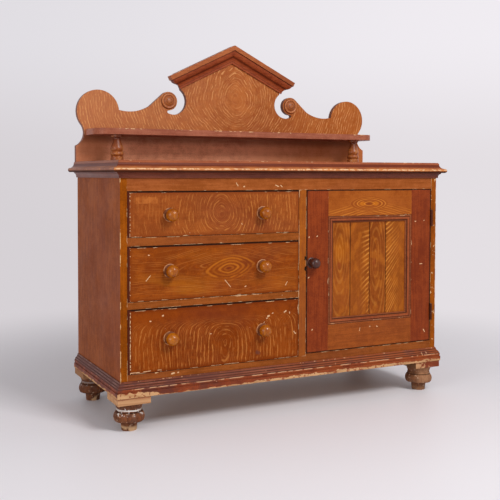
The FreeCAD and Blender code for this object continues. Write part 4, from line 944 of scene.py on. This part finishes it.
def feet():
    """Worn turned feet: mottled brown with old white paint on the left, rubbed bare on the right but for
    painted shade on their left flanks.
    """
    coat = new_coat("foot_wood")
    right = coat.smooth(-0.1, 0.1, coat.x)
    above_peg = coat.smooth(*PEG_TOP, coat.z)
    dark = brushed(coat, tone(136, 82, 50), tone(88, 50, 32), "z", 71, roughness=0.6)
    dark = coat.stain(coat.patches(0.44, 0.6, 60, 4, 71) * 0.5, dark, tone(96, 70, 58), 0.7)
    rubbed = brushed(coat, tone(184, 136, 98), tone(146, 100, 70), "z", 73, roughness=0.66)
    # Painted shade: the flanks that face left stay dark on the rubbed right feet.
    shaded_flank = coat.smooth(0.35, 0.85, -coat.facing_x)
    paint = coat.over(right * (above_peg * 0.6 + 0.15) * (1 - shaded_flank * 0.8), dark, rubbed)
    spots = coat.patches(0.6, 0.66, 80, 3, 72)
    paint = coat.stain(spots * 0.7, paint, tone(198, 162, 134), 0.7, -0.2 * MM)
    tan = coat.patches(0.5, 0.55, 26, 2, 77) * coat.fall(10 * MM, 20 * MM, coat.z)
    paint = coat.stain(tan * (1 - right * 0.8) * 0.8, paint, tone(206, 166, 124), 0.7)
    wobble = coat.ragged(6 * MM, 45, 3, 74)
    line = coat.fall(1.2 * MM, 2.8 * MM, (coat.z - WHITE_LINE + wobble).size())
    drips = coat.patches(0.57, 0.63, 130, 2, 75, drawn_out("z", 0.35))
    drips = drips * coat.smooth(*DRIP_FOOT, coat.z) * coat.fall(*DRIP_TOP, coat.z)
    kept = (1 - right) * (1 - coat.smooth(0, 0.05, coat.y) * 0.7)
    paint = coat.stain(line.at_least(drips) * kept * 0.9, paint, tone(228, 222, 216), 0.7, 0.2 * MM)
    for height in FOOT_GROOVES:
        groove = coat.fall(0.8 * MM, 2.2 * MM, (coat.z - height).size())
        paint = coat.over(groove * 0.6, paint, shade_and_grime_layer)
    coat.finish(["feet"], paint)


def foot_blocks():
    """Pale bare blocks, of which the right ones keep some of their red paint and have painted shade on the
    faces that look left.
    """
    coat = new_coat("block_wood")
    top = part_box("foot_blocks")[1].z
    wood = pine(coat, "x", tone(198, 150, 108), tone(164, 114, 76), 72)
    red = brushed(coat, tone(150, 76, 46), tone(116, 50, 30), "x", 75)
    flaked = coat.noise(80, 5, 72) * 0.75 + coat.smooth(0.5, 0.62, coat.x) * 0.25
    kept = coat.smooth(0.49, 0.54, flaked)
    ragged = coat.ragged(10 * MM, 50, 3)
    edge = coat.smooth(top - 7 * MM, top - 3 * MM, coat.z + ragged)
    paint = coat.over((kept * coat.smooth(0, 0.1, coat.x)).at_least(edge * 0.6), wood, red)
    # Painted shade on the left faces of the right blocks.
    inside = coat.faces(-(coat.facing_x * coat.smooth(-0.01, 0.01, coat.x)))
    paint = coat.stain(inside * 0.8, paint, tone(92, 58, 36), 0.7)
    paint = coat.stain(coat.smooth(0, 0.1, coat.y) * 0.5, paint, tone(116, 74, 50), 0.7)
    coat.finish(["foot_blocks"], paint)


feet()
foot_blocks()


def bare(name, members, along, seed, light=OLD_PINE_LIGHT, dark=OLD_PINE_DARK):
    coat = new_coat(name)
    coat.finish(members, pine(coat, along, light, dark, seed))


bare("drawer_side_pine", [f"drawer_{n}_sides" for n in (1, 2, 3)], "y", 81, PINE_LIGHT, PINE_DARK)
bare("drawer_board_pine", [f"drawer_{n}_{part}" for n in (1, 2, 3) for part in ("back", "bottom")], "x", 82,
     PINE_LIGHT, PINE_DARK)
bare("carcass_pine", ["bottom_board", "cupboard_shelf", "door_stop"], "x", 83)
bare("partition_pine", ["partition_panel"], "z", 84)
bare("runner_pine", ["drawer_runners", "drawer_stops", "shelf_cleats"], "y", 85)


def back_boards():
    """Bare boards, each with its own grain and tone, dark with dust in the joints."""
    coat = new_coat("back_pine")
    low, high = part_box("back_boards")
    turn = (coat.x - low.x) / ((high.x - low.x) / BACK_BOARDS)
    own = turn.whole()
    wood = pine(coat, "z", seed=own * 3.7 + 86)
    shade = coat.noise(0.01, 0, own * 1.9)
    wood = coat.stain(coat.smooth(0.3, 0.7, shade) * 0.4, wood, tone(116, 74, 44), 0.75)
    joint = coat.fall(0.01, 0.03, 0.5 - (turn.part() - 0.5).size())
    coat.finish(["back_boards"], coat.over(joint * 0.7, wood, shade_and_grime_layer))


back_boards()


def old_steel():
    coat = new_coat("old_steel")
    rust = coat.patches(0.42, 0.62, 120, 4)
    layer = coat.over(rust, Layer(STEEL, 0.42), Layer(RUST, 0.7, 0.1 * MM))
    members = ["hinge_pins", "hinge_frame_screws", "hinge_door_screws", "latch_tongue"]
    coat.finish(members, layer, gloss=0.5, metallic=0.8, rounding=0.4 * MM)


def hinge_leaves():
    """Leaves and knuckles that were painted over with the frame, dark with handling."""
    coat = new_coat("hinge_paint")
    paint = brushed(coat, tone(72, 36, 22), tone(44, 22, 14), "z", 91, roughness=0.6)
    lost = coat.patches(0.64, 0.7, 160, 4, 91)
    layer = coat.stain(lost, paint, STEEL, 0.5)
    coat.finish(["hinge_frame_leaves", "hinge_door_leaves"], layer, gloss=0.08)


old_steel()
hinge_leaves()


def backdrop(coat, east, rise):
    """The pale surroundings, lighter to the right and upwards, by the shares of a direction along X and Z."""
    aside = coat.smooth(0.1, 0.75, east)
    low = coat.mix(aside, tone(214, 209, 213), tone(228, 223, 227))
    high = coat.mix(aside, tone(224, 221, 226), tone(241, 237, 242))
    return coat.mix(coat.smooth(0, 0.16, rise), low, high)


def stage_floor():
    """A wide pale floor that fades into the backdrop far from the object."""
    mesh = bpy.data.meshes.new("floor")
    shape = bmesh.new()
    bmesh.ops.create_circle(shape, cap_ends=True, radius=FLOOR_RADIUS, segments=96)
    shape.to_mesh(mesh)
    shape.free()
    floor = bpy.data.objects.new("floor", mesh)
    scene.collection.objects.link(floor)
    coat = new_coat("floor_paper")
    distance = length(coat.x, coat.y)
    paper = {"Base Color": tone(240, 237, 241), "Roughness": 0.5, "Specular IOR Level": 0.2}
    shader = coat.add("ShaderNodeBsdfPrincipled", paper)
    glow = coat.add("ShaderNodeEmission", {"Color": backdrop(coat, coat.x / distance, 0)})
    fade = coat.smooth(*FLOOR_FADE, distance)
    blend = coat.add("ShaderNodeMixShader", {0: fade, 1: shader.outputs[0], 2: glow.outputs[0]})
    mesh.materials.append(coat.show(blend.outputs[0]))


def area_light(name, place, target, size, power):
    light = bpy.data.lights.new(name, "AREA")
    light.size = size
    light.energy = power
    lamp = bpy.data.objects.new(name, light)
    lamp.location = place
    lamp.rotation_euler = (Vector(target) - Vector(place)).to_track_quat("-Z", "Y").to_euler()
    scene.collection.objects.link(lamp)


def studio():
    """Even pale surroundings, a soft key light high in front and a wide fill from the left."""
    world = bpy.data.worlds.new("studio")
    scene.world = world
    sky = Coat(world, "Generated")
    rays = sky.add("ShaderNodeLightPath")
    seen = sky.math("MAXIMUM", rays.outputs["Is Camera Ray"], rays.outputs["Is Glossy Ray"])
    seen = seen.at_least(rays.outputs["Is Transmission Ray"])
    light = sky.add("ShaderNodeBackground", {"Color": tone(250, 248, 250), "Strength": 0.42})
    wall = sky.add("ShaderNodeBackground", {"Color": backdrop(sky, sky.x, sky.z)})
    both = sky.add("ShaderNodeMixShader", {0: seen, 1: light.outputs[0], 2: wall.outputs[0]})
    sky.show(both.outputs[0], "ShaderNodeOutputWorld")
    area_light("key", place=(0.6, -2.9, 2.9), target=(0, 0, 0.55), size=1.2, power=86)
    area_light("fill", place=(-3.3, -1.5, 1.1), target=(0, 0, 0.6), size=1.6, power=30)


def photo_camera():
    """The photograph's viewpoint, in a square image."""
    data = bpy.data.cameras.new("camera")
    data.sensor_width = 36
    data.lens = 60.33
    data.shift_x = 0.0097
    data.shift_y = -0.0909
    yaw, pitch, roll = (math.radians(angle) for angle in (26.723, 2.0835, 0.133))
    look = Vector((math.sin(yaw) * math.cos(pitch), math.cos(yaw) * math.cos(pitch), -math.sin(pitch)))
    camera = bpy.data.objects.new("camera", data)
    camera.rotation_mode = "QUATERNION"
    turned = look.to_track_quat("-Z", "Y").to_matrix() @ Matrix.Rotation(roll, 3, "Z")
    camera.rotation_quaternion = turned.to_quaternion()
    camera.location = (-1.4535, -2.7501, 0.8234)
    scene.collection.objects.link(camera)
    scene.camera = camera


stage_floor()
studio()
photo_camera()
bpy.context.scene.view_settings.view_transform = "Standard"
